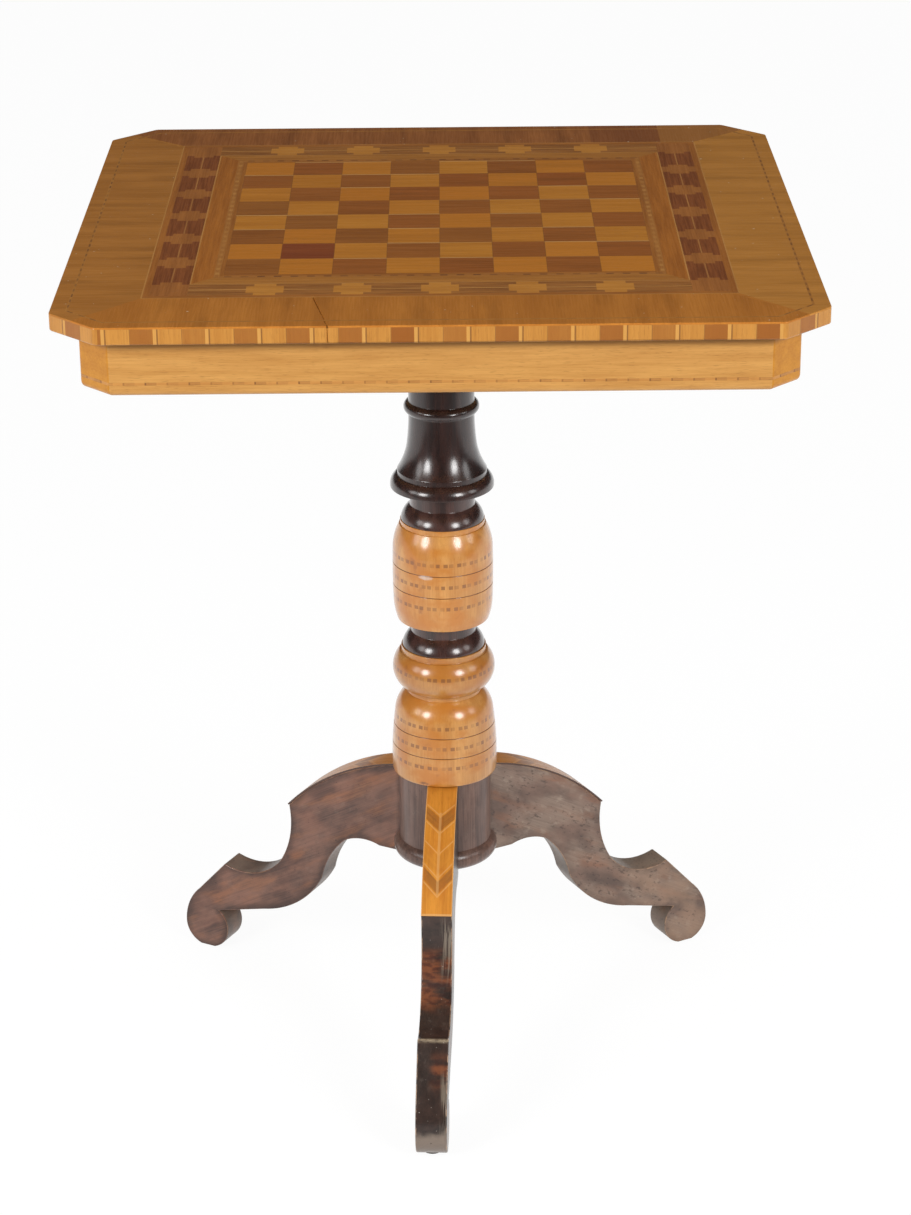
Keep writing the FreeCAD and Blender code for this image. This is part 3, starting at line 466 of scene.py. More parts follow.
@dataclass(frozen=True)
class Timber(Finish):
    """Wood with figure, fine streaks and pores drawn out along its grain.

    Attributes:
        deep: colour of the dark figure.
        pale: colour of the light figure.
        run: the way the grain runs.
        gloss: the polish.
        figure: width of the broad figure in millimetres.
        streaks: share of the fine streaks in the colour.
        pores: strength of the dark pores.
    """

    deep: Colour
    pale: Colour
    run: Run
    gloss: Gloss = TOP_POLISH
    figure: float = 10.0
    streaks: float = 0.4
    pores: float = 0.3
    broad: Pattern = Pattern((14.0, 1.0, 1.0), 0.32, 0.68, 3.0)
    fine: Pattern = Pattern((34.0, 1.5, 1.5), 0.3, 0.7, 3.0)
    pore: Pattern = Pattern((7.0, 0.55, 0.55), 0.58, 0.74, 1.0)
    pore_shade: float = 0.4
    fine_relief: float = 0.4
    dulling: float = 0.1

    def grain(self, place: Place) -> Place:
        """Turn a place into lengths along, across and into the grain.

        Args:
            place: x, y and z in millimetres.

        Returns:
            The three lengths.
        """
        x, y, z = place
        if self.run is Run.ALONG_X:
            return x, y, z
        if self.run is Run.ALONG_Y:
            return y, x, z
        if self.run is Run.UPRIGHT:
            return z, x, y
        side = abs(x) > abs(y)
        length = x.toward(y, side)
        breadth = y.toward(x, side)
        return (length, breadth, z) if self.run is Run.WITH_SIDE else (breadth, length, z)

    def tones(self, place: Place) -> tuple[Tone, Tone]:
        """Give the deep and the pale colour at a place."""
        return self.deep, self.pale

    def marks(self, place: Place, base: Socket) -> Socket:
        """Lay inlay, joints or wear over the wood's colour."""
        return base

    def paint(self, graph: Graph) -> None:
        """Add the material's nodes.

        Args:
            graph: the material's empty graph.
        """
        place = graph.place()
        grain = self.grain(place)
        broad = self.broad.scaled(self.figure).mask(grain)
        fine = self.fine.mask(grain)
        pore = self.pore.mask(grain)
        base = (broad * (1 - self.streaks) + fine * self.streaks).pick(*self.tones(place))
        base = base.blend(dimmed(self.deep, self.pore_shade), pore * self.pores)
        base = self.marks(place, base)
        relief = fine * self.fine_relief + (1 - pore) * (1 - self.fine_relief)
        graph.surface(base, self.gloss, relief, self.gloss.roughness + self.dulling * (0.5 - fine))


class Draw(Enum):
    """What is drawn at random for each playing square, by the seed of the draw."""

    START = 3.0
    TINT = 7.0
    SHADE = 11.0
    GLINT = 17.0


@dataclass(frozen=True)
class BoardSquare(Timber):
    """Veneer of the playing squares, each cut from another leaf.

    Attributes:
        warm: pale colour of the warmest leaves.
        corner: x and y of the board's low corner, millimetres.
        pitch: side of a square.
    """

    warm: Colour = (0.5, 0.2, 0.04)
    corner: Point = (-168.0, -162.0)
    pitch: float = 42.0
    leaf_shift: float = 900.0
    shade_share: float = 0.5
    joint: Tint = Tint((0.12, 0.05, 0.02), 0.4)
    joint_reach: Point = (0.1, 0.55)
    glint: Tint = Tint((0.66, 0.38, 0.14), 0.7)
    glint_rise: Point = (0.957, 0.968)
    glint_draw: Point = (0.3, 0.8)

    def cells(self, place: Place) -> tuple[Socket, Socket]:
        """Give the place counted in squares from the board's low corner."""
        return (place[0] - self.corner[0]) / self.pitch, (place[1] - self.corner[1]) / self.pitch

    def leaf(self, place: Place, draw: Draw) -> Socket:
        """Give one random value for each square."""
        column, row = self.cells(place)
        return column.graph.random(column.floor(), row.floor(), draw.value)

    def grain(self, place: Place) -> Place:
        """Turn a place into grain lengths that start anew in each square."""
        along, across, into = super().grain(place)
        return along, across + self.leaf(place, Draw.START) * self.leaf_shift, into

    def tones(self, place: Place) -> tuple[Tone, Tone]:
        """Give each square its own tint."""
        pale = self.leaf(place, Draw.TINT).pick(self.pale, self.warm)
        return (self.leaf(place, Draw.SHADE) * self.shade_share).pick(self.deep, pale), pale

    def marks(self, place: Place, base: Socket) -> Socket:
        """Darken the joints between the squares and lay painted glints of highlight along their rear edges.

        Args:
            place: x, y and z in millimetres.
            base: the wood's colour.

        Returns:
            The colour with the joints and the painted glints.
        """
        column, row = (count.fraction() for count in self.cells(place))
        edge = column.least(1 - column).least(row.least(1 - row)) * self.pitch
        base = self.joint.lay(base, 1 - edge.step(*self.joint_reach))
        # Painted highlight: pale glints along the rear edges of some squares.
        caught = self.leaf(place, Draw.GLINT).step(*self.glint_draw)
        return self.glint.lay(base, row.step(*self.glint_rise) * caught)


@dataclass(frozen=True)
class SidedVeneer(Timber):
    """Veneer whose front and rear pieces come from another leaf than the side pieces.

    Attributes:
        side_deep: dark figure of the left and right pieces.
        side_pale: light figure of the left and right pieces.
        inside: half the width inside the band where the side pieces run through, or 0 for mitres.
        shift: how far the board's middle lies behind the top's, millimetres.
    """

    side_deep: Colour = (0.2, 0.07, 0.03)
    side_pale: Colour = (0.3, 0.1, 0.04)
    inside: float = 193.0
    shift: float = 6.0

    def side(self, place: Place) -> Socket:
        """Give 1 on the left and right pieces."""
        return abs(place[0]) > (self.inside or abs(place[1] - self.shift))

    def grain(self, place: Place) -> Place:
        """Run the grain along each side."""
        side = self.side(place)
        return place[0].toward(place[1], side), place[1].toward(place[0], side), place[2]

    def tones(self, place: Place) -> tuple[Tone, Tone]:
        """Give the colours of the side that a place is on."""
        side = self.side(place)
        return side.pick(self.deep, self.side_deep), side.pick(self.pale, self.side_pale)


class Side(Enum):
    """A straight side of the top, by its number round the rim."""

    FRONT = 0
    RIGHT = 2
    REAR = 4
    LEFT = 6

    @property
    def word(self) -> str:
        """Give the side's word in the nodes' names."""
        return self.name.lower()


CORNERS = (1, 3, 5, 7)


@dataclass(frozen=True)
class Rim:
    """An eight-sided rim: a square with its corners cut off.

    Attributes:
        half: half its width, millimetres.
        cant: how much of each side the cut takes.
        arris: radius of its upright edges.
        steps: straight steps in half an upright edge.
        slack: how far inside the rim a place still counts as on a cut corner.
    """

    half: float
    cant: float
    arris: float = 5.0
    steps: int = 3
    slack: float = 3.0

    def stations(self, side: int, depth: float) -> list[Vector]:
        """Give the points along one of the eight sides.

        Args:
            side: 0 for the front, and on to the right, with the cut corners as the odd sides.
            depth: how far inside the rim, millimetres.

        Returns:
            Points from the middle of one upright edge to the middle of the next, in metres.
        """
        eighth = math.tau / 8
        outward = Matrix.Rotation(eighth * side, 2) @ Vector((0.0, -1.0))
        onward = Vector((-outward.y, outward.x))
        cut = self.cant - depth * (2 - math.sqrt(2))
        half = self.half - depth
        away, length = half, half - cut
        if side % 2:
            away, length = (2 * half - cut) / math.sqrt(2), cut / math.sqrt(2)
        radius = max(self.arris - depth, 0.0)
        reach = length - radius * math.tan(eighth / 2)
        points = []
        for end in (-1, 1):
            centre = outward * (away - radius) + onward * (reach * end)
            for step in range(self.steps + 1):
                share = step - self.steps if end < 0 else step
                turn = Matrix.Rotation(eighth / 2 * share / self.steps, 2)
                points.append((centre + turn @ outward * radius) * MM)
        return points

    def depth(self, place: Place) -> Socket:
        """Give how far inside the rim a place lies.

        Args:
            place: x, y and z in millimetres.

        Returns:
            The depth in millimetres.
        """
        wide, deep = abs(place[0]), abs(place[1])
        corner = (2 * self.half - self.cant - wide - deep) * math.sqrt(0.5)
        return (self.half - wide.most(deep)).least(corner)

    def along(self, place: Place) -> tuple[Socket, Socket]:
        """Measure along the side that a place is on.

        Args:
            place: x, y and z in millimetres.

        Returns:
            The length from the side's middle, and a mask of the cut corners.
        """
        x, y, _ = place
        wide, deep = abs(x), abs(y)
        straight = x.toward(y, wide > deep)
        corner = (wide + deep) > (2 * self.half - self.cant - self.slack)
        return straight.toward((wide - deep) * math.sqrt(0.5), corner), corner


@dataclass(frozen=True)
class Crossband(Timber):
    """Border veneer, cut across each side, with soft clouds and a few pale specks.

    Attributes:
        joint: x of a joint in the leaf, millimetres: a redder piece ends there and a paler one starts.
            By default it lies outside the top.
        piece: length of the redder piece.
    """

    joint: float = 400.0
    piece: float = 62.0
    soft: float = 0.4
    red: Tint = Tint((0.21, 0.066, 0.020), 0.55)
    beyond: Tint = Tint((0.37, 0.150, 0.033), 0.75)
    cloud: Pattern = Pattern((80.0, 80.0, 1.0), 0.35, 0.65, 2.0)
    shade: float = 0.45
    drift: Pattern = Pattern((130.0, 24.0, 1.0), 0.5, 0.72, 4.0, (0.0, 0.0, 3.0))
    drift_shade: float = 0.6
    drift_strength: float = 0.4
    speck: Pattern = Pattern((2.4, 2.4, 1.0), 0.885, 0.9, 0.0)
    dust: Tint = Tint((0.75, 0.62, 0.45), 0.8)

    def marks(self, place: Place, base: Socket) -> Socket:
        """Lay the clouds, the joint and the specks.

        Args:
            place: x, y and z in millimetres.
            base: the wood's colour.

        Returns:
            The colour with the marks.
        """
        x = place[0]
        along, across, _ = self.grain(place)
        drift = self.drift.mask((along, across, 0.0))
        base = base.blend(self.deep, (1 - self.cloud.mask(place)) * self.shade)
        base = base.blend(dimmed(self.deep, self.drift_shade), drift * self.drift_strength)
        base = self.red.lay(base, x.between(self.joint - self.piece, self.joint, self.soft))
        base = self.beyond.lay(base, x > self.joint)
        return self.dust.lay(base, self.speck.mask(place))


@dataclass(frozen=True)
class DashedString(Timber):
    """Stringing of dark dashes in a lighter line.

    Attributes:
        rim: outer outline of the line.
        breadth: width of the line, millimetres.
        dash: length of a dash.
        pitch: from one dash to the next.
        dark: colour of a dash.
        faint: strength of the dashes at the front and rear.
    """

    rim: Rim = Rim(282.0, 30.0)
    breadth: float = 2.2
    dash: float = 7.0
    pitch: float = 13.5
    dark: Colour = (0.13, 0.05, 0.02)
    faint: float = 0.5
    seed: float = 5.0
    soft: float = 0.4
    least: float = 0.3
    spread: float = 0.45
    fade: Point = (0.45, 0.85)

    def marks(self, place: Place, base: Socket) -> Socket:
        """Lay the dashes along the line's middle.

        Args:
            place: x, y and z in millimetres.
            base: the line's colour.

        Returns:
            The colour with the dashes.
        """
        along, corner = self.rim.along(place)
        side = (abs(place[0]) > abs(place[1])).most(corner)
        count = along / self.pitch + 0.5
        dash = (count.fraction() * self.pitch).between(self.pitch - self.dash, self.pitch, self.soft)
        worn = self.least + self.spread * base.graph.random(count.floor(), side, self.seed)
        narrow = 1 - abs(self.rim.depth(place) - self.breadth / 2).step(*self.fade)
        return base.blend(self.dark, dash * narrow * worn * side.raised(self.faint))


@dataclass(frozen=True)
class TickedString(DashedString):
    """Stringing of the frieze: each dash starts with a dark tick and lies between two dark lines.

    Attributes:
        middle: height of the line's middle, millimetres.
        gap: from the start of a tick to the start of its dash.
        tick: length of a tick.
        line: width of the two fine lines.
    """

    least: float = 0.5
    spread: float = 0.5
    middle: float = 692.7
    gap: float = 1.0
    tick: float = 1.3
    tick_soft: float = 0.3
    line: float = 0.5
    line_strength: float = 0.45
    dash_strength: float = 0.22
    tick_strength: float = 0.75

    def marks(self, place: Place, base: Socket) -> Socket:
        """Lay the dashes, their ticks and the two fine lines.

        Args:
            place: x, y and z in millimetres.
            base: the line's colour.

        Returns:
            The colour with the dashes.
        """
        along, _ = self.rim.along(place)
        count = along / self.pitch + 0.5
        run = count.fraction() * self.pitch
        side = abs(place[0]) > abs(place[1])
        worn = self.least + self.spread * base.graph.random(count.floor(), side, self.seed)
        dash = run.between(self.gap, self.dash, self.soft)
        tick = run.between(0.0, self.tick, self.tick_soft)
        edge = abs(place[2] - self.middle).step(self.breadth / 2 - self.line, self.breadth / 2)
        base = base.blend(self.dark, edge * dash * worn * self.line_strength)
        base = base.blend(self.dark, dash * worn * self.dash_strength)
        return base.blend(self.dark, tick * worn * self.tick_strength)


@dataclass(frozen=True)
class Ladder(Timber):
    """Narrow banding round the board: light rungs at its sides, dark ones at its front and rear.

    Attributes:
        pitch: from one rung to the next, millimetres.
        rung: length of a rung.
        inside: half the width inside the banding.
        light: colour of the light rungs.
        dark: colour of the dark rungs.
        shift: how far the board's middle lies behind the top's.
        span: where a rung begins and ends across the banding.
    """

    pitch: float = 12.9
    rung: float = 6.0
    inside: float = 171.0
    light: Colour = (0.60, 0.29, 0.075)
    dark: Colour = (0.13, 0.045, 0.016)
    shift: float = 6.0
    span: Point = (0.9, 3.9)
    soft: float = 0.5
    edge_soft: float = 0.4
    seed: float = 2.0
    least: float = 0.2
    spread: float = 0.4
    dark_share: float = 1.2
    light_share: float = 0.75

    def marks(self, place: Place, base: Socket) -> Socket:
        """Lay the rungs.

        Args:
            place: x, y and z in millimetres.
            base: the banding's colour.

        Returns:
            The colour with the rungs.
        """
        x, y = place[0], place[1] - self.shift
        side = abs(x) > abs(y)
        count = x.toward(y, side) / self.pitch
        breadth = abs(x).most(abs(y)) - self.inside
        length = (count.fraction() * self.pitch).between(0.0, self.rung, self.soft)
        rung = length * breadth.between(*self.span, self.edge_soft)
        worn = self.least + self.spread * base.graph.random(count.floor(), side, self.seed)
        share = self.dark_share - (self.dark_share - self.light_share) * side
        return base.blend(side.pick(self.dark, self.light), rung * (worn * share))


@dataclass(frozen=True)
class BlockBanding(Timber):
    """Banding of the edge: light and brown blocks parted by a fine stripe.

    Attributes:
        rim: the rim that it follows.
        period: length of one light and one brown block with their stripe, millimetres.
        stripe: length of the yellow stripe.
        line: length of the dark line beside it.
        block: length of the light block.
        joint: length of the dark line between the light and the brown block.
        brown: colour of the brown blocks.
        yellow: colour of the stripe.
        dark: colour of the lines.
        start: share of a period by which the banding is moved at the cut corners.
    """

    rim: Rim = Rim(294.0, 37.0)
    period: float = 38.7
    stripe: float = 2.6
    line: float = 1.1
    block: float = 18.0
    joint: float = 0.5
    brown: Colour = (0.27, 0.085, 0.014)
    yellow: Colour = (0.55, 0.27, 0.062)
    dark: Colour = (0.15, 0.06, 0.02)
    start: float = 0.33
    seed: float = 4.0
    least: float = 0.45
    soft: float = 0.25
    line_soft: float = 0.2
    line_strength: float = 0.7
    hair: Pattern = Pattern((0.8, 60.0, 1.0), 0.55, 0.7, 1.0)
    hair_strength: float = 0.10

    def marks(self, place: Place, base: Socket) -> Socket:
        """Lay the blocks, the stripes and the lines.

        Args:
            place: x, y and z in millimetres.
            base: the light blocks' colour.

        Returns:
            The colour with the blocks.
        """
        along, corner = self.rim.along(place)
        count = along / self.period + 0.5 + self.start * corner
        run = count.fraction() * self.period
        low = self.stripe + self.line
        high = low + self.block
        leaf = base.graph.random(count.floor(), corner, self.seed)
        brown = run.between(high, self.period, self.soft)
        base = base.blend(self.brown, brown * (leaf.raised(self.least)))
        base = base.blend(self.yellow, run.between(0.0, self.stripe, self.soft))
        ends = ((self.stripe, low), (high - self.joint, high))
        lines = either(run.between(*pair, self.line_soft) for pair in ends)
        hair = self.hair.mask((along, place[2], corner)) * self.hair_strength
        return base.blend(self.dark, (lines * self.line_strength).most(hair))


@dataclass(frozen=True)
class FriezeBoard(Timber):
    """Veneer of the frieze, with painted shade under the overhang.

    Attributes:
        head: height of the boards' upper edge, millimetres.
        dirty: heights from that edge between which the painted shade deepens.
    """

    head: float = 727.5
    dirty: Point = (-14.0, -6.5)
    # Painted shade under the overhang, where the top's edge shadows the frieze.
    grime: Tint = Tint((0.12, 0.05, 0.016), 0.7)

    def marks(self, place: Place, base: Socket) -> Socket:
        """Paint shade on the wood towards the overhang."""
        close = (place[2] - self.head).step(*self.dirty)
        return self.grime.lay(base, close * close)


@dataclass(frozen=True)
class Spot:
    """A mark on the front of a turning.

    Attributes:
        x: its middle from the pillar's axis, millimetres.
        height: its middle's height.
        half_width: half its width.
        half_height: half its height.
        tint: its colour.
        fade: where its ragged edge begins and ends, counted in its own size.
    """

    x: float
    height: float
    half_width: float
    half_height: float
    tint: Tint
    fade: Point = (0.7, 1.9)

    def mask(self, place: Place, ragged: Socket) -> Socket:
        """Give where the mark lies.

        Args:
            place: x, y and z in millimetres.
            ragged: unevenness of its edge.

        Returns:
            The mask, on the front alone.
        """
        x, y, z = place
        level = (x - self.x) / self.half_width
        rise = (z - self.height) / self.half_height
        return (1 - (level * level + rise * rise + ragged).step(*self.fade)) * (y < 0.0)


@dataclass(frozen=True)
class Turned(Timber):
    """Light turned wood: mottled, with upright grain and painted shade in the scribed lines.

    Attributes:
        orange: colour of the warm clouds.
        scribed: heights of the scribed lines, millimetres.
        spots: marks on the front.
    """

    orange: Colour = (0.48, 0.175, 0.026)
    scribed: tuple[float, ...] = ()
    spots: tuple[Spot, ...] = ()
    cloud: Pattern = Pattern((22.0, 22.0, 16.0), 0.38, 0.66)
    warmth: float = 0.85
    stain: Pattern = Pattern((15.0, 15.0, 13.0), 0.60, 0.74, 5.0, (50.0, 0.0, 0.0))
    brown: Tint = Tint((0.27, 0.085, 0.02), 0.55)
    scratch: Tint = Tint((0.14, 0.05, 0.015), 0.8)
    scratch_fade: Point = (0.25, 0.6)
    ragged: Pattern = Pattern((2.4,) * 3, detail=5.0)
    ragged_strength: float = 1.6

    def marks(self, place: Place, base: Socket) -> Socket:
        """Lay warm clouds and marks over the wood, and paint shade into the scribed lines.

        Args:
            place: x, y and z in millimetres.
            base: the wood's colour.

        Returns:
            The colour with the marks.
        """
        base = base.blend(self.orange, self.cloud.mask(place) * self.warmth)
        base = self.brown.lay(base, self.stain.mask(place))
        # Painted shade in the scribed grooves.
        for height in self.scribed:
            base = self.scratch.lay(base, 1 - abs(place[2] - height).step(*self.scratch_fade))
        for spot in self.spots:
            base = spot.tint.lay(base, spot.mask(place, self.ragged.noise(place) * self.ragged_strength))
        return base


@dataclass(frozen=True)
class BlackPolish(Timber):
    """Blackened turnings, rubbed brown on their corners."""

    rubbed: Tint = Tint((0.24, 0.12, 0.08), 0.7)
    worn: Pattern = Pattern((14.0,) * 3, 0.3, 0.65, 3.0)

    def marks(self, place: Place, base: Socket) -> Socket:
        """Rub the polish off the corners."""
        return self.rubbed.lay(base, base.graph.arris() * self.worn.mask(place))


@dataclass(frozen=True)
class RingBanding(Turned):
    """Rings let into the turnings: small dark dashes in pairs round a light ring.

    Attributes:
        pairs: how many pairs go round.
        dark: colour of the dashes.
        parted: heights between the rings, millimetres.
        turned_on: share of a pair by which each ring is turned from the one below.
        dashes: where the two dashes begin and end, in shares of a pair.
    """

    pairs: int = 23
    dark: Colour = (0.20, 0.075, 0.024)
    parted: tuple[float, ...] = ()
    turned_on: float = 0.37
    dashes: tuple[Point, ...] = ((0.04, 0.34), (0.46, 0.76))
    soft: float = 0.02
    seed: float = 9.0
    wear: Point = (0.0, 0.6)
    least: float = 0.25
    spread: float = 0.5

    def marks(self, place: Place, base: Socket) -> Socket:
        """Lay the pairs of dashes.

        Args:
            place: x, y and z in millimetres.
            base: the wood's colour.

        Returns:
            The colour with the dashes.
        """
        x, y, z = place
        base = super().marks(place, base)
        # Whole turns are added because the angle is negative on one half.
        count = y.turn_to(x) * (self.pairs / math.tau) + 100
        for height in self.parted:
            count = count + (z > height) * self.turned_on
        run = count.fraction()
        dashes = either(run.between(*ends, self.soft) for ends in self.dashes)
        draw = base.graph.random((count * 2).floor(), self.parted[0] if self.parted else 0.0, self.seed)
        return base.blend(self.dark, dashes * (self.least + self.spread * draw.step(*self.wear)))


@dataclass(frozen=True)
class Ebonised(Finish):
    """Blackened wood, rubbed through to red and dull grey wood in places.

    Attributes:
        turn: the leg's direction in degrees.
        lean: the grain's angle to the floor in degrees.
        black: colour of the sound finish.
        brown: colour where it is thin.
        ash: colour of the dull wood.
        streaks: share of the grain in the colour, beside the mottling.
        red: share of red, rubbed wood.
        grey: share of dull grey wood.
        bare: share of pale wood on the edges.
        outline: strength of the dark outline on the flat sides.
        tan: share of warm tan wood towards the toe.
        dusty: share of grey on the narrow faces, partly dust and partly painted sheen.
        rubbed: heights between which the red wood shows, millimetres.
        gloss: the polish.
        toe_reach: reach over which the tan wood begins.
        narrow: sideways turn of the surface over which the dust and painted sheen end.
        arris: sideways turn of the surface on the eased edges.
    """

    turn: float
    lean: float
    black: Colour = (0.072, 0.038, 0.029)
    brown: Colour = (0.215, 0.105, 0.073)
    ash: Colour = (0.23, 0.170, 0.138)
    streaks: float = 0.4
    red: float = 0.5
    grey: float = 0.4
    bare: float = 0.6
    outline: float = 0.0
    tan: float = 0.0
    dusty: float = 0.0
    rubbed: Point = (0.0, 250.0)
    gloss: Gloss = WORN_POLISH
    toe_reach: Point = (150.0, 210.0)
    narrow: Point = (0.1, 0.3)
    arris: Point = (0.2, 0.93)
    red_wood: Colour = (0.29, 0.112, 0.050)
    tan_wood: Colour = (0.34, 0.21, 0.137)
    bare_wood: Colour = (0.40, 0.25, 0.155)
    chipped: Colour = (0.055, 0.034, 0.028)
    # Grey of the narrow faces: partly dust and partly painted sheen.
    dust: Colour = (0.22, 0.185, 0.145)
    scuffed: Tint = Tint((0.36, 0.28, 0.22), 0.6)
    pitted: Tint = Tint((0.012, 0.008, 0.006), 0.7)
    rim_shade: float = 0.35
    streak: Pattern = Pattern((120.0, 3.0, 5.0), 0.3, 0.7)
    fine: Pattern = Pattern((30.0, 0.9, 0.9), 0.3, 0.7, 3.0)
    mottle: Pattern = Pattern((30.0, 17.0, 20.0), 0.34, 0.66, 6.0, (0.0, 0.0, 70.0))
    through: Pattern = Pattern((55.0, 16.0, 15.0), 0.48, 0.66, 6.0, (0.0, 0.0, 40.0))
    dull: Pattern = Pattern((45.0, 26.0, 22.0), 0.40, 0.62, 6.0, (20.0, 0.0, 0.0))
    scuff: Pattern = Pattern((8.0, 5.0, 5.0), 0.57, 0.68, 5.0)
    tan_cloud: Pattern = Pattern((30.0, 18.0, 20.0), 0.3, 0.6, 4.0, (0.0, 0.0, 15.0))
    cluster: Pattern = Pattern((55.0, 35.0, 40.0), 0.42, 0.58, 3.0, (5.0, 0.0, 0.0))
    chip: Pattern = Pattern((5.0, 2.4, 3.0), 0.57, 0.67, 4.0, (30.0, 0.0, 0.0))
    ragged: Pattern = Pattern((16.0,) * 3, 0.25, 0.7, 5.0)
    edge: Pattern = Pattern((9.0,) * 3, 0.42, 0.62, 3.0)
    pit: Pattern = Pattern((1.7,) * 3, 0.74, 0.78, 1.0, (9.0, 0.0, 0.0))

    def reach(self, place: Place) -> Socket:
        """Give the length out from the pillar's axis."""
        return place[0] * math.cos(math.radians(self.turn)) + place[1] * math.sin(math.radians(self.turn))

    def across(self, place: Place) -> Socket:
        """Give the place across the leg."""
        return place[1] * math.cos(math.radians(self.turn)) - place[0] * math.sin(math.radians(self.turn))

    def grain(self, place: Place) -> Place:
        """Turn a place into lengths along, over and across the grain.

        Args:
            place: x, y and z in millimetres.

        Returns:
            The three lengths.
        """
        rise, fall = math.sin(math.radians(self.lean)), math.cos(math.radians(self.lean))
        reach, height = self.reach(place), place[2]
        return height * rise - reach * fall, height * fall + reach * rise, self.across(place)

    def age(self, place: Place, base: Socket, fine: Socket, dull: Socket) -> Socket:
        """Lay the red, dull and tan wood and the chips.

        Args:
            place: x, y and z in millimetres.
            base: the sound wood's colour.
            fine: the fine grain, which shows through.
            dull: the mask of the dull wood.

        Returns:
            The aged wood's colour.
        """
        height_soft = 9.0
        grain = self.grain(place)
        worn = self.through.mask(grain) * place[2].between(*self.rubbed, height_soft) * self.red
        base = base.blend(self.red_wood, worn * fine.raised(0.5))
        base = base.blend(self.ash, dull * fine.raised(0.6))
        base = self.scuffed.lay(base, self.scuff.mask(grain) * dull)
        toe = self.reach(place).step(*self.toe_reach) * self.tan_cloud.mask(grain)
        base = base.blend(self.tan_wood, toe * self.tan)
        chips = 0.15 + 0.55 * self.grey
        return base.blend(self.chipped, self.chip.mask(grain) * self.cluster.mask(grain) * chips)

    def wear(self, place: Place, base: Socket) -> Socket:
        """Lay wear that only one leg has over the wood."""
        return base

    def edges(self, place: Place, base: Socket, sideways: Socket) -> Socket:
        """Lay the dark outline of the flat sides and the pale edges.

        Args:
            place: x, y and z in millimetres.
            base: the wood's colour.
            sideways: how far the surface is turned to the leg's sides.

        Returns:
            The colour with the edges.
        """
        low, flat = self.arris
        rim = base.graph.stored(OUTLINE) * self.ragged.mask(place).raised(0.35) * (sideways > flat)
        base = base.blend(dimmed(self.black, self.rim_shade), rim * self.outline)
        edge = sideways.between(low, flat, 0.08) * self.edge.mask(place)
        return base.blend(self.bare_wood, edge * self.bare)

    def paint(self, graph: Graph) -> None:
        """Add the material's nodes.

        Args:
            graph: the material's empty graph.
        """
        place = graph.place()
        grain = self.grain(place)
        fine, mottle = self.fine.mask(grain), self.mottle.mask(grain)
        dull = self.dull.mask(grain) * self.grey
        tone = mottle * (1 - self.streaks) + (self.streak.mask(grain) + fine) * (self.streaks / 2)
        base = self.age(place, tone.pick(self.black, self.brown), fine, dull)
        base = self.wear(place, base)
        sideways = abs(self.across(graph.facing()))
        # The narrow faces turn grey by their facing: partly dust and partly painted sheen.
        dust = (1 - sideways.step(*self.narrow)) * mottle.raised(0.5)
        base = self.edges(place, base.blend(self.dust, dust * self.dusty), sideways)
        pit = self.pit.mask(place)
        base = self.pitted.lay(base, pit)
        roughness = self.gloss.roughness + 0.22 * dull - 0.06 * fine + (0.35 * self.dusty) * dust
        graph.surface(base, self.gloss, fine * 0.5 + (1 - pit) * 0.5, roughness)


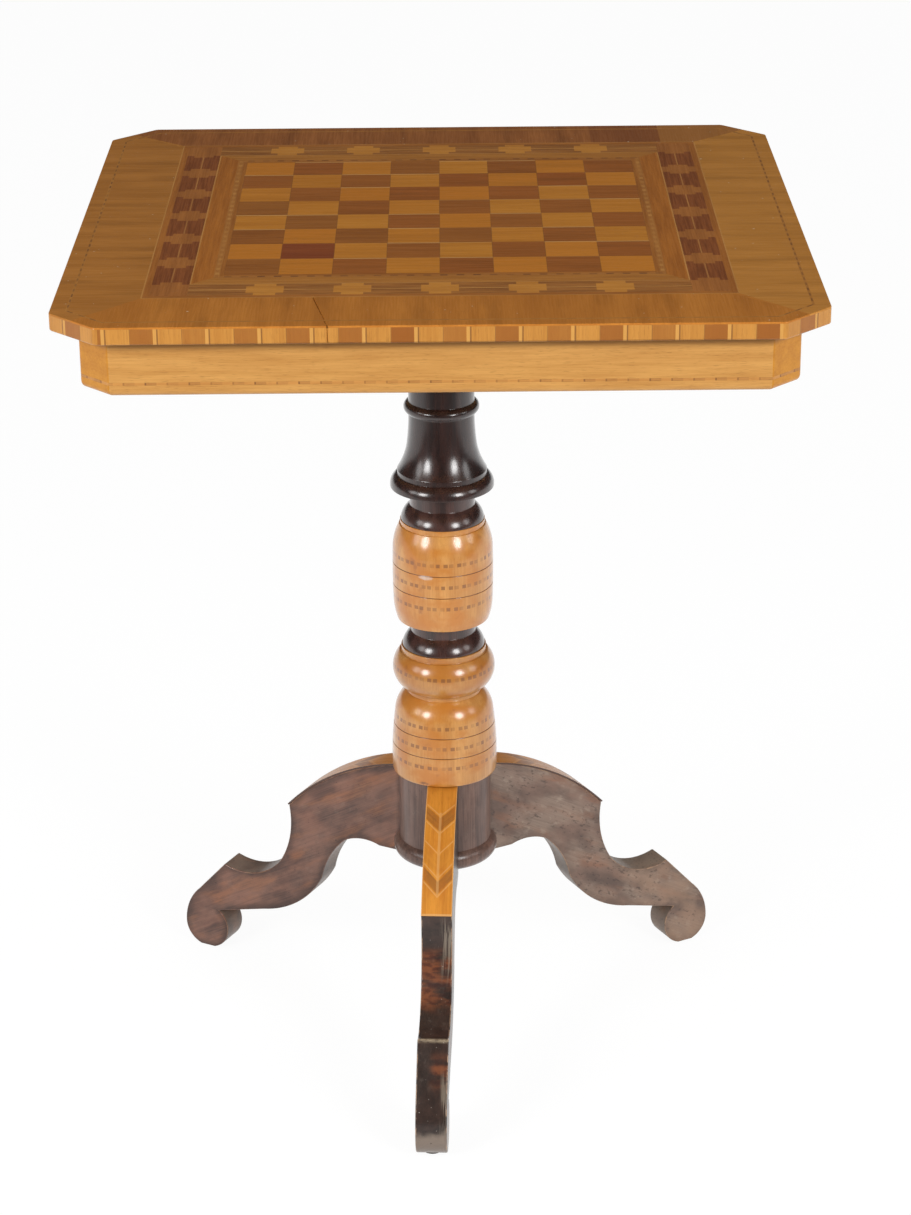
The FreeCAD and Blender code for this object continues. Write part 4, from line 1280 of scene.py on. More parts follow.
@dataclass(frozen=True)
class RubbedFront(Ebonised):
    """The front leg: rubbed red at the instep, pale at the toe's edge and with grey dust at the foot.

    Attributes:
        toe: reach of the toe's edge, millimetres.
        lip: reach before and behind that edge which is pale.
        lip_height: heights over which the pale edge begins.
        foot: heights over which the dust at the foot ends.
        low_band: heights of a second red place, on one side.
        low_side: places across the leg over which it begins.
        streaked: heights of the pale streaks, above and below the toe.
        streaked_side: places across the leg over which they begin, above and below the toe.
    """

    toe: float = 226.5
    lip: Point = (3.0, 1.5)
    lip_height: Point = (86.0, 90.0)
    foot: Point = (32.0, 46.0)
    drift: float = 24.0
    low_band: Point = (64.0, 80.0)
    low_side: Point = (-5.0, 3.0)
    streaked: tuple[Point, Point] = ((118.0, 166.0), (22.0, 70.0))
    streaked_side: tuple[Point, Point] = ((1.0, 8.0), (6.0, 10.0))
    patch: Pattern = Pattern((26.0, 8.0, 1.0), 0.38, 0.62, 6.0, (0.0, 0.0, 5.0))
    burn: Pattern = Pattern((9.0, 4.0, 1.0), 0.46, 0.64, 6.0, (30.0, 0.0, 2.0))
    pale: Pattern = Pattern((1.6, 26.0, 1.0), 0.44, 0.6, 5.0, (0.0, 0.0, 8.0))
    ragged_lip: Pattern = Pattern((5.0, 2.0, 1.0), 0.3, 0.6, 4.0, (0.0, 0.0, 1.0))
    cloud: Pattern = Pattern((12.0,) * 3, detail=5.0)
    speck: Pattern = Pattern((1.8,) * 3, 0.76, 0.8, 1.0, (0.0, 0.0, 60.0))
    patched: Tint = Tint((0.23, 0.068, 0.024), 0.7)
    burnt: Tint = Tint((0.045, 0.014, 0.011), 0.65)
    paled: Tint = Tint((0.29, 0.235, 0.175), 0.55)
    lipped: Tint = Tint((0.46, 0.36, 0.24), 0.75)
    dusted: Tint = Tint((0.25, 0.192, 0.15), 0.75)
    specked: Tint = Tint((0.5, 0.44, 0.38), 0.6)

    def wear(self, place: Place, base: Socket) -> Socket:
        """Lay the red patches, the pale streaks, the toe's edge and the dust.

        Args:
            place: x, y and z in millimetres.
            base: the wood's colour.

        Returns:
            The worn wood's colour.
        """
        z, across = place[2], self.across(place)
        front = (across, z, 0.0)
        low_band = z.between(*self.low_band, 7.0) * across.step(*self.low_side)
        band = z.between(*self.rubbed, 5.0).most(low_band)
        base = self.patched.lay(base, self.patch.mask(front) * band)
        base = self.burnt.lay(base, self.burn.mask(front) * band)
        upper, lower = (
            across.step(*side) * z.between(*heights, soft)
            for side, heights, soft in zip(self.streaked_side, self.streaked, (12.0, 8.0))
        )
        base = self.paled.lay(base, self.pale.mask(front) * upper.most(lower))
        before, behind = self.lip
        lip = self.reach(place).between(self.toe - before, self.toe + behind, 1.5) * z.step(*self.lip_height)
        base = self.lipped.lay(base, lip * self.ragged_lip.mask(front))
        base = self.dusted.lay(base, 1 - (z + self.drift * self.cloud.noise(place)).step(*self.foot))
        return self.specked.lay(base, self.speck.mask(place))


@dataclass(frozen=True)
class Chevrons(Timber):
    """Veneer strip on a leg's arched back, inlaid with chevrons that point to the foot.

    Attributes:
        turn: the leg's direction in degrees.
        radius: radius of the arched back, millimetres.
        centre: height of the arch's centre.
        start: reach at which the strip begins.
        length: the strip's length along the arch.
        half: half its width.
        spine: half the width of the light line along its middle.
        slope: length that a chevron gains for each millimetre from the middle.
        dark: colour of the dark pieces.
        light: colour of the lines.
        dark_pieces: where the dark pieces begin and end along the strip.
        striped_piece: where the faintly striped piece begins and ends.
        lines: where the light lines between the pieces begin and end.
        spine_run: where the light line along the middle begins and ends.
        upward: upward turn of the surface over which the narrow sides end.
    """

    turn: float = 0.0
    radius: float = 210.0
    centre: float = 30.7
    start: float = 38.1
    length: float = 137.5
    half: float = 13.25
    spine: float = 1.2
    slope: float = 1.15
    dark: Colour = (0.20, 0.070, 0.020)
    light: Colour = (0.68, 0.39, 0.15)
    dark_pieces: tuple[Point, ...] = ((41.0, 56.0), (105.5, 117.0))
    striped_piece: Point = (81.5, 99.0)
    lines: tuple[Point, ...] = ((37.6, 39.2), (57.6, 59.2), (78.8, 80.3), (101.5, 103.0), (118.5, 120.0))
    spine_run: Point = (36.0, 119.0)
    stripe: Pattern = Pattern((1.1, 40.0, 1.0), 0.35, 0.65, 2.0)
    cloud: Pattern = Pattern((20.0, 9.0, 1.0), 0.45, 0.65, 4.0, (0.0, 0.0, 7.0))
    warm: Tint = Tint((0.46, 0.145, 0.018), 0.45)
    flank: Tint = Tint((0.095, 0.055, 0.043), 1.0)
    upward: Point = (0.3, 0.45)

    def strip(self, place: Place) -> tuple[Socket, Socket]:
        """Measure along and across the strip.

        Args:
            place: x, y and z in millimetres.

        Returns:
            The length from the hub, and the place across.
        """
        x, y, z = place
        cosine, sine = math.cos(math.radians(self.turn)), math.sin(math.radians(self.turn))
        reach = x * cosine + y * sine
        angle = reach.turn_to(z - self.centre) - math.asin(self.start / self.radius)
        return angle * self.radius, y * cosine - x * sine

    def grain(self, place: Place) -> Place:
        """Run the grain along the strip."""
        along, across = self.strip(place)
        return along, across, abs(across)

    def marks(self, place: Place, base: Socket) -> Socket:
        """Lay the chevrons, the spine and the pale edges, and darken the narrow sides.

        Args:
            place: x, y and z in millimetres.
            base: the wood's colour.

        Returns:
            The colour with the inlay.
        """
        piece_soft, line_soft = 0.5, 0.3
        along, across = self.strip(place)
        aside = abs(across)
        chevron = along + self.slope * (aside - self.spine)
        inside = 1 - aside.step(self.half - 1.3, self.half - 0.9)
        dark = either(chevron.between(*ends, piece_soft) for ends in self.dark_pieces) * inside
        striped = chevron.between(*self.striped_piece, piece_soft) * inside
        stripe = self.stripe.mask((chevron, across, 0.0))
        base = base.blend(self.dark, striped * (0.05 + 0.15 * stripe))
        base = base.blend(self.dark, dark * (0.5 + 0.25 * stripe))
        base = self.warm.lay(base, self.cloud.mask((along, across, 0.0)))
        lines = either(chevron.between(*ends, line_soft) for ends in self.lines) * inside
        spine = (1 - aside.step(self.spine - 0.4, self.spine + 0.2)) * along.between(*self.spine_run, 0.6)
        end = along.step(self.length - 2.2, self.length - 1.4)
        rim = aside.step(self.half - 0.9, self.half - 0.5).most(end)
        base = base.blend(self.light, (lines * 0.45).most(spine * 0.4).most(rim * 0.6))
        _, _, up = base.graph.facing()
        return self.flank.lay(base, 1 - up.step(*self.upward))


@dataclass(frozen=True)
class Brass(Finish):
    """Old brass, browned in clouds and brighter where it is rubbed."""

    bright: Colour = (0.66, 0.46, 0.17)
    brown: Tint = Tint((0.30, 0.19, 0.08), 0.8)
    cloud: Pattern = Pattern((7.0,) * 3, 0.35, 0.65)
    brush: Pattern = Pattern((0.4, 14.0, 0.4), detail=2.0)
    gloss: Gloss = Gloss(roughness=0.26, metallic=1.0, relief=0.01)

    def paint(self, graph: Graph) -> None:
        """Add the material's nodes.

        Args:
            graph: the material's empty graph.
        """
        place = graph.place()
        cloud, brush = self.cloud.mask(place), self.brush.noise(place)
        base = (cloud * self.brown.strength).pick(self.bright, self.brown.colour)
        graph.surface(base, self.gloss, brush, self.gloss.roughness + 0.22 * cloud + 0.06 * brush)


@dataclass(frozen=True)
class Steel(Finish):
    """Dull screw steel with brown specks."""

    bright: Colour = (0.36, 0.34, 0.32)
    rust: Colour = (0.15, 0.09, 0.06)
    speck: Pattern = Pattern((1.2,) * 3, 0.5, 0.66, 3.0)
    gloss: Gloss = Gloss(roughness=0.34, metallic=1.0, relief=0.02)

    def paint(self, graph: Graph) -> None:
        """Add the material's nodes.

        Args:
            graph: the material's empty graph.
        """
        speck = self.speck.mask(graph.place())
        roughness = self.gloss.roughness + 0.3 * speck
        graph.surface(speck.pick(self.bright, self.rust), self.gloss, speck, roughness)


@dataclass(frozen=True)
class Felt(Finish):
    """Matted felt of the pads."""

    deep: Colour = (0.05, 0.04, 0.03)
    pale: Colour = (0.16, 0.13, 0.10)
    fibre: Pattern = Pattern((0.5, 0.5, 0.3), 0.3, 0.7)
    gloss: Gloss = Gloss(roughness=0.95, specular=0.1, relief=0.25)

    def paint(self, graph: Graph) -> None:
        """Add the material's nodes.

        Args:
            graph: the material's empty graph.
        """
        fibre = self.fibre.noise(graph.place())
        base = fibre.step(self.fibre.low, self.fibre.high).pick(self.deep, self.pale)
        graph.surface(base, self.gloss, fibre, self.gloss.roughness)


# Shapes


def show(node: str, mesh: bmesh.types.BMesh) -> bpy.types.Object:
    """Show a new mesh in place of a CAD node, on the same body.

    Args:
        node: the CAD node's name.
        mesh: the mesh to show, which is used up.

    Returns:
        The new piece.
    """
    bmesh.ops.recalc_face_normals(mesh, faces=mesh.faces[:])
    data = bpy.data.meshes.new(f"{node}_eased")
    mesh.to_mesh(data)
    mesh.free()
    for name in ("custom_normal", "sharp_face", "sharp_edge"):
        layer = data.attributes.get(name)
        if layer is not None:
            data.attributes.remove(layer)
    data.shade_smooth()
    data.set_sharp_from_angle(angle=SMOOTH)
    data.materials.clear()
    piece = bpy.data.objects.new(f"{node}_eased", data)
    bpy.context.scene.collection.objects.link(piece)
    piece.modifiers.new("even_normals", "WEIGHTED_NORMAL").keep_sharp = True
    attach(piece, BODY_OF[node])
    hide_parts(node)
    return piece


def solid_copy(node: str) -> bmesh.types.BMesh:
    """Copy a CAD node's mesh as one closed skin with whole flat faces.

    Args:
        node: the CAD node's name.

    Returns:
        The copy.
    """
    mesh = bmesh.new()
    mesh.from_mesh(frame["nodes"][node].data)
    bmesh.ops.remove_doubles(mesh, verts=mesh.verts[:], dist=TOUCH)
    bmesh.ops.dissolve_limit(mesh, angle_limit=FLAT, verts=mesh.verts[:], edges=mesh.edges[:])
    return mesh


def ease(
    mesh: bmesh.types.BMesh,
    width: float,
    chosen: Callable[[bmesh.types.BMEdge], bool] = lambda edge: True,
    segments: int = 3,
) -> None:
    """Round the sharp edges of a mesh.

    Args:
        mesh: the mesh to change.
        width: how far the rounding reaches on each face, metres.
        chosen: says which sharp edges are rounded.
        segments: steps of the rounding.
    """
    edges = [
        edge for edge in mesh.edges
        if len(edge.link_faces) == 2 and edge.calc_face_angle() > SHARP and chosen(edge)
    ]
    bmesh.ops.bevel(
        mesh, geom=edges, offset=width, offset_type="OFFSET", segments=segments, profile=0.5,
        affect="EDGES", clamp_overlap=True,
    )


def eased(node: str, width: float, segments: int = 3) -> bpy.types.Object:
    """Show a CAD node with all its sharp edges rounded.

    Args:
        node: the CAD node's name.
        width: reach of the rounding, metres.
        segments: steps of the rounding.

    Returns:
        The piece that stands for the node.
    """
    mesh = solid_copy(node)
    ease(mesh, width, segments=segments)
    return show(node, mesh)


def swept(rim: Rim, sides: Iterable[int], section: Sequence[Point]) -> bmesh.types.BMesh:
    """Sweep a section along sides of a rim, with mitred ends.

    Args:
        rim: the rim.
        sides: numbers of the sides.
        section: depth inside the rim and height of each point, millimetres.

    Returns:
        The mesh, one closed piece for each side.
    """
    mesh = bmesh.new()
    for side in sides:
        rows = [
            [mesh.verts.new((*point, height * MM)) for point in rim.stations(side, depth)]
            for depth, height in section
        ]
        for row, after in zip(rows, rows[1:] + rows[:1]):
            for index in range(len(row) - 1):
                mesh.faces.new((row[index], row[index + 1], after[index + 1], after[index]))
        mesh.faces.new([row[0] for row in rows])
        mesh.faces.new([row[-1] for row in rows])
        bmesh.ops.remove_doubles(mesh, verts=[vertex for row in rows for vertex in row], dist=TOUCH)
    return mesh


def quarter(depth: float, height: float, radius: float) -> list[Point]:
    """Give the rounded lower corner of a section, from its outside to its foot.

    Args:
        depth: where the section's outside lies, millimetres.
        height: the section's foot.
        radius: the corner's radius.

    Returns:
        Depth and height of each point.
    """
    steps = 5
    turns = [math.pi / 2 * step / steps for step in range(steps + 1)]
    return [(depth + radius - radius * math.cos(t), height + radius - radius * math.sin(t)) for t in turns]


def crack(mesh: bmesh.types.BMesh, foot: Vector, lean: float, width: float, depth: float) -> None:
    """Open a crack from front to rear in a piece.

    Args:
        mesh: the mesh to change.
        foot: a point that the crack passes through.
        lean: metres that it drifts to the left for each metre back.
        width: half its width.
        depth: how deep it goes.
    """
    bmesh.ops.recalc_face_normals(mesh, faces=mesh.faces[:])
    geometry = mesh.verts[:] + mesh.edges[:] + mesh.faces[:]
    plane = Vector((1.0, lean, 0.0)).normalized()
    cut = bmesh.ops.bisect_plane(mesh, geom=geometry, dist=TOUCH, plane_co=foot, plane_no=plane)["geom_cut"]
    shown = [
        edge for edge in cut
        if isinstance(edge, bmesh.types.BMEdge)
        and max(face.normal.z - face.normal.y for face in edge.link_faces) > 0.5
    ]
    made = bmesh.ops.bevel(
        mesh, geom=shown, offset=width, offset_type="OFFSET", segments=2, profile=0.5, affect="EDGES",
    )
    mesh.normal_update()
    for vertex in {vertex for face in made["faces"] for vertex in face.verts}:
        if abs((vertex.co - foot).dot(plane)) < width / 4:
            vertex.co -= vertex.normal * depth


def seam(node: str) -> list[Point]:
    """Read the section that a turned node was swept from.

    Args:
        node: name of a node turned about the upright axis.

    Returns:
        Radius and height of each point, in order from end to end.
    """
    mesh = bmesh.new()
    mesh.from_mesh(frame["nodes"][node].data)
    bmesh.ops.remove_doubles(mesh, verts=mesh.verts[:], dist=TOUCH)
    section = {vertex for vertex in mesh.verts if abs(vertex.co.y) < TOUCH and vertex.co.x > TOUCH}
    links = {
        vertex: [edge.other_vert(vertex) for edge in vertex.link_edges if edge.other_vert(vertex) in section]
        for vertex in section
    }
    # A flat shoulder has no edge in the section: its two ends lie at one height.
    loose = [vertex for vertex in section if len(links[vertex]) == 1]
    for first in loose:
        for second in loose:
            if first is not second and abs(first.co.z - second.co.z) < TOUCH and len(links[first]) == 1:
                links[first].append(second)
                links[second].append(first)
    ends = [vertex for vertex in section if len(links[vertex]) == 1]
    here = min(ends or section, key=lambda vertex: vertex.co.z)
    chain, before = [], None
    while here is not None and here not in chain:
        chain.append(here)
        onward = [vertex for vertex in links[here] if vertex is not before and vertex not in chain]
        before, here = here, (onward[0] if onward else None)
    points = [(vertex.co.x, vertex.co.z) for vertex in chain]
    mesh.free()
    return [(0.0, points[0][1]), *points, (0.0, points[-1][1])] if ends else points


def rounded(points: Sequence[Point], width: float, closed: bool, sharp: Sequence[float]) -> list[Point]:
    """Ease the sharp corners of a section.

    Args:
        points: radius and height of each point.
        width: how far the rounding reaches along each line.
        closed: whether the last point joins the first.
        sharp: heights whose corners stay sharp.

    Returns:
        The section with short curves in its corners.
    """
    steps = 4
    eased_points = []
    for index, point in enumerate(points):
        if not closed and index in (0, len(points) - 1):
            eased_points.append(point)
            continue
        corner = Vector(point)
        back = Vector(points[index - 1]) - corner
        ahead = Vector(points[(index + 1) % len(points)]) - corner
        kept = any(abs(corner.y - height) < 0.2 * MM for height in sharp)
        if kept or math.pi - back.angle(ahead) < SHARP:
            eased_points.append(point)
            continue
        first = corner + back.normalized() * min(width, 0.4 * back.length)
        last = corner + ahead.normalized() * min(width, 0.4 * ahead.length)
        for step in range(steps + 1):
            share = step / steps
            eased_points.append(tuple(first.lerp(corner, share).lerp(corner.lerp(last, share), share)))
    return eased_points


def turned(node: str, width: float, facets: int, sharp: Sequence[float] = ()) -> bpy.types.Object:
    """Show a turned node with eased corners.

    Args:
        node: the CAD node's name.
        width: reach of the easing, metres.
        facets: facets round the piece.
        sharp: heights whose corners stay sharp.

    Returns:
        The piece that stands for the node.
    """
    points = seam(node)
    closed = points[0][0] > 0
    section = rounded(points, width, closed, sharp)
    mesh = bmesh.new()
    rings = []
    for radius, height in section:
        if radius == 0:
            rings.append([mesh.verts.new((0.0, 0.0, height))] * facets)
            continue
        turns = [math.tau * facet / facets for facet in range(facets)]
        rings.append([mesh.verts.new((radius * math.cos(t), radius * math.sin(t), height)) for t in turns])
    pairs = list(zip(rings, rings[1:])) + ([(rings[-1], rings[0])] if closed else [])
    for low, high in pairs:
        for facet in range(facets):
            ahead = (facet + 1) % facets
            corners = dict.fromkeys((low[facet], low[ahead], high[ahead], high[facet]))
            mesh.faces.new(list(corners))
    return show(node, mesh)


# Sub-assemblies


@dataclass
class Assembly(ABC):
    """Pieces that are shaped and dressed together.

    Attributes:
        pieces: pieces that stand for CAD nodes, by the node's name.
        dressed: name of the finish that each piece has, by the piece's name.
    """

    pieces: dict[str, bpy.types.Object] = field(default_factory=dict)
    dressed: dict[str, str] = field(default_factory=dict)

    @abstractmethod
    def build(self) -> None:
        """Make the pieces that replace CAD nodes."""

    @abstractmethod
    def dress(self) -> None:
        """Give every piece its finish."""

    def finish(self, finish: Finish, nodes: Iterable[str]) -> None:
        """Give a finish to nodes, or to the pieces that stand for them.

        Args:
            finish: the finish.
            nodes: names of CAD nodes.
        """
        for node in nodes:
            piece = self.pieces.get(node, frame["nodes"][node])
            if not piece.material_slots:
                piece.data.materials.append(finish.material())
            for slot in piece.material_slots:
                slot.material = finish.material()
            self.dressed[piece.name] = finish.name


@dataclass
class Pillar(Assembly):
    """The turned pillar on its hub.

    Attributes:
        ease: reach of the eased corners, metres.
        facets: facets round a turning.
        light: the light turnings, and how bright each is: dimmer copies of one wood, which paint shade on the
            bobbin.
        reels: the dark reels.
        honey: dark figure, light figure and warm clouds of the light wood.
    """

    ease: float = 0.45 * MM
    facets: int = 120
    light: Mapping[str, float] = field(
        default_factory=lambda: {"lower_barrel": 0.95, "bobbin": 0.84, "upper_barrel": 1.0}
    )
    reels: tuple[str, ...] = ("middle_reel", "upper_reel")
    honey: tuple[Colour, ...] = ((0.47, 0.196, 0.043), (0.62, 0.300, 0.080), (0.49, 0.168, 0.018))

    def build(self) -> None:
        """Turn the pieces with eased corners, and sharp ones where the rings are let in."""
        half = self.ring() / 2
        for node in self.light:
            sharp = [(middle + side * half) * MM for middle in self.rings(node) for side in (-1, 1)]
            self.pieces[node] = turned(node, self.ease, self.facets, sharp)
        for node in (*self.reels, "pillar_head"):
            self.pieces[node] = turned(node, self.ease, self.facets)

    def ring(self) -> float:
        """Give the height of a ring, millimetres."""
        low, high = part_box("bobbin_inlay")
        return (high.z - low.z) / MM

    def rings(self, node: str) -> tuple[float, ...]:
        """Find a turning's rings.

        Args:
            node: the turning's name.

        Returns:
            The heights of their middles, millimetres.
        """
        low, high = (corner.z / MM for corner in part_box(f"{node}_inlay"))
        first, last = low + self.ring() / 2, high - self.ring() / 2
        return (first, (first + last) / 2, last) if last - first > self.ring() else (first,)

    def scribed(self, node: str) -> tuple[float, ...]:
        """Give the heights midway between a turning's rings, millimetres."""
        rings = self.rings(node)
        return tuple((low + high) / 2 for low, high in zip(rings, rings[1:]))

    def dress(self) -> None:
        """Give the turnings their polish and the rings their dashes."""
        spots = {
            "upper_barrel": (Spot(-15.0, 435.0, 7.0, 2.2, Tint((0.62, 0.52, 0.45), 0.65)),),
            "lower_barrel": (Spot(-18.0, 241.5, 5.0, 1.6, Tint((0.10, 0.035, 0.012), 0.65)),),
        }
        for node, share in self.light.items():
            # Dimmer copies of the one honey wood: the bobbin's is painted shade.
            deep, pale, orange = (dimmed(colour, share) for colour in self.honey)
            wood = (deep, pale, Run.UPRIGHT, TURNED_POLISH)
            figure = {"figure": 9.0, "pores": 0.2, "orange": orange}
            between = self.scribed(node)
            self.finish(
                Turned(f"honey_{node}", *wood, **figure, scribed=between, spots=spots.get(node, ())), [node],
            )
            self.finish(RingBanding(f"rings_{node}", *wood, **figure, parted=between), [f"{node}_inlay"])
        for name, deep, pale, nodes in (
            ("black_polish", (0.014, 0.006, 0.005), (0.042, 0.017, 0.013), ["pillar_head"]),
            ("reel_polish", (0.020, 0.008, 0.006), (0.070, 0.030, 0.023), self.reels),
        ):
            self.finish(BlackPolish(
                name, deep, pale, Run.UPRIGHT, BLACK_POLISH, figure=8.0, streaks=0.25, pores=0.2,
            ), nodes)
        self.finish(Ebonised(
            "worn_hub", 0.0, 90.0, (0.062, 0.035, 0.028), (0.194, 0.110, 0.084), streaks=0.7,
            red=0.1, grey=0.12, bare=0.0,
        ), ["hub"])


@dataclass
class Legs(Assembly):
    """The three legs with their veneered backs and pads.

    Attributes:
        ease: reach of the eased edges, metres.
        pad_ease: reach of the pads' eased edges.
        border: width of the dark outline on the legs' sides.
        turns: direction of each leg in degrees.
    """

    ease: float = 1.1 * MM
    pad_ease: float = 0.3 * MM
    border: float = 6.0 * MM
    turns: Mapping[str, float] = field(
        default_factory=lambda: {"front": -93.0, "right": 28.0, "left": 152.0}
    )

    def build(self) -> None:
        """Ease the edges of the legs and pads."""
        for side in self.turns:
            mesh = solid_copy(f"{side}_leg")
            ease(mesh, self.ease)
            self.mark_outline(mesh)
            self.pieces[f"{side}_leg"] = show(f"{side}_leg", mesh)
        self.pieces["foot_pads"] = eased("foot_pads", self.pad_ease)

    def mark_outline(self, mesh: bmesh.types.BMesh) -> None:
        """Store a value in a leg's mesh that falls from 1 at the outline of its flat sides to 0 inside.

        Args:
            mesh: the leg's mesh, whose two largest faces are its flat sides.
        """
        layer = mesh.verts.layers.float.new(OUTLINE)
        sides = sorted(mesh.faces, key=lambda face: face.calc_area())[-2:]
        bmesh.ops.inset_individual(mesh, faces=sides, thickness=self.border, use_even_offset=False)
        inside = {vertex for face in sides for vertex in face.verts}
        for vertex in mesh.verts:
            vertex[layer] = 0.0 if vertex in inside else 1.0

    def dress(self) -> None:
        """Give each leg its own wear."""
        self.finish(RubbedFront(
            "front_leg_wood", self.turns["front"], 30.0,
            (0.016, 0.010, 0.008), (0.058, 0.032, 0.024), (0.13, 0.097, 0.080),
            red=0.0, grey=0.15, bare=0.8, outline=0.4, rubbed=(96.0, 137.0),
        ), ["front_leg"])
        self.finish(Ebonised(
            "right_leg_wood", self.turns["right"], 30.0,
            (0.105, 0.066, 0.051), (0.215, 0.130, 0.096), (0.28, 0.202, 0.155),
            streaks=0.12, red=0.55, grey=0.9, bare=0.8, outline=0.3, tan=0.55, dusty=0.6,
        ), ["right_leg"])
        self.finish(Ebonised(
            "left_leg_wood", self.turns["left"], 30.0,
            (0.062, 0.031, 0.024), (0.235, 0.110, 0.074),
            streaks=0.4, red=0.75, grey=0.12, bare=0.4, outline=0.8, dusty=0.6,
        ), ["left_leg"])
        for side, turn in self.turns.items():
            self.finish(Chevrons(
                f"{side}_chevrons", (0.495, 0.178, 0.020), (0.665, 0.270, 0.036), Run.UPRIGHT, EDGE_POLISH,
                figure=7.0, turn=turn,
            ), [f"{side}_leg_veneer"])
        self.finish(Felt("pad_felt"), ["foot_pads"])


@dataclass
class PlayingBoard(Assembly):
    """The squares and the frames of banding round them.

    Attributes:
        squares: squares along a side.
    """

    squares: int = 8

    def build(self) -> None:
        """Keep the inlay as it lies: its pieces are flush and close."""

    def dress(self) -> None:
        """Give the veneers their woods."""
        low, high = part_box("light_squares")
        board = {"corner": (low.x / MM, low.y / MM), "pitch": (high.x - low.x) / MM / self.squares}
        for name, node, deep, pale, warm in (
            ("light_leaf", "light_squares", (0.44, 0.158, 0.016), (0.56, 0.225, 0.028), (0.54, 0.18, 0.016)),
            ("dark_leaf", "dark_squares", (0.237, 0.075, 0.012), (0.35, 0.126, 0.022), (0.37, 0.106, 0.018)),
            (
                "replaced_leaf", "replaced_square",
                (0.195, 0.043, 0.012), (0.28, 0.072, 0.018), (0.27, 0.068, 0.017),
            ),
        ):
            self.finish(BoardSquare(name, deep, pale, Run.ALONG_X, warm=warm, **board), [node])
        lines = ["inner_line_strips", "outer_line_strips"]
        for name, nodes, deep, pale in (
            ("surround_leaf", ["surround_strips"], (0.29, 0.097, 0.016), (0.40, 0.145, 0.024)),
            ("light_lines", lines, (0.42, 0.185, 0.042), (0.55, 0.26, 0.07)),
            ("outer_stripe_leaf", ["outer_stripe_strips"], (0.30, 0.100, 0.017), (0.42, 0.150, 0.026)),
        ):
            self.finish(Timber(name, deep, pale, Run.WITH_SIDE), nodes)
        self.finish(Ladder(
            "ladder_banding", (0.33, 0.122, 0.024), (0.43, 0.170, 0.034), Run.WITH_SIDE,
        ), ["ladder_strips"])
        self.finish(SidedVeneer(
            "inner_border_leaf", (0.33, 0.122, 0.020), (0.46, 0.187, 0.034), Run.WITH_SIDE, figure=6.0,
            side_deep=(0.32, 0.102, 0.014), side_pale=(0.45, 0.155, 0.022), inside=0.0,
        ), ["inner_border_strips"])
        self.finish(SidedVeneer(
            "pattern_lines_leaf", (0.46, 0.21, 0.05), (0.60, 0.30, 0.085), Run.WITH_SIDE,
            side_deep=(0.32, 0.125, 0.033), side_pale=(0.44, 0.185, 0.048),
        ), ["pattern_lines"])
        self.finish(SidedVeneer(
            "pattern_blocks_leaf", (0.22, 0.080, 0.018), (0.42, 0.165, 0.035), Run.WITH_SIDE, streaks=0.7,
            side_deep=(0.175, 0.050, 0.013), side_pale=(0.285, 0.087, 0.022),
        ), ["pattern_blocks"])
        self.finish(SidedVeneer(
            "pattern_spools_leaf", (0.45, 0.175, 0.026), (0.58, 0.245, 0.040), Run.WITH_SIDE,
            side_deep=(0.29, 0.100, 0.022), side_pale=(0.41, 0.150, 0.032),
        ), ["pattern_spools"])


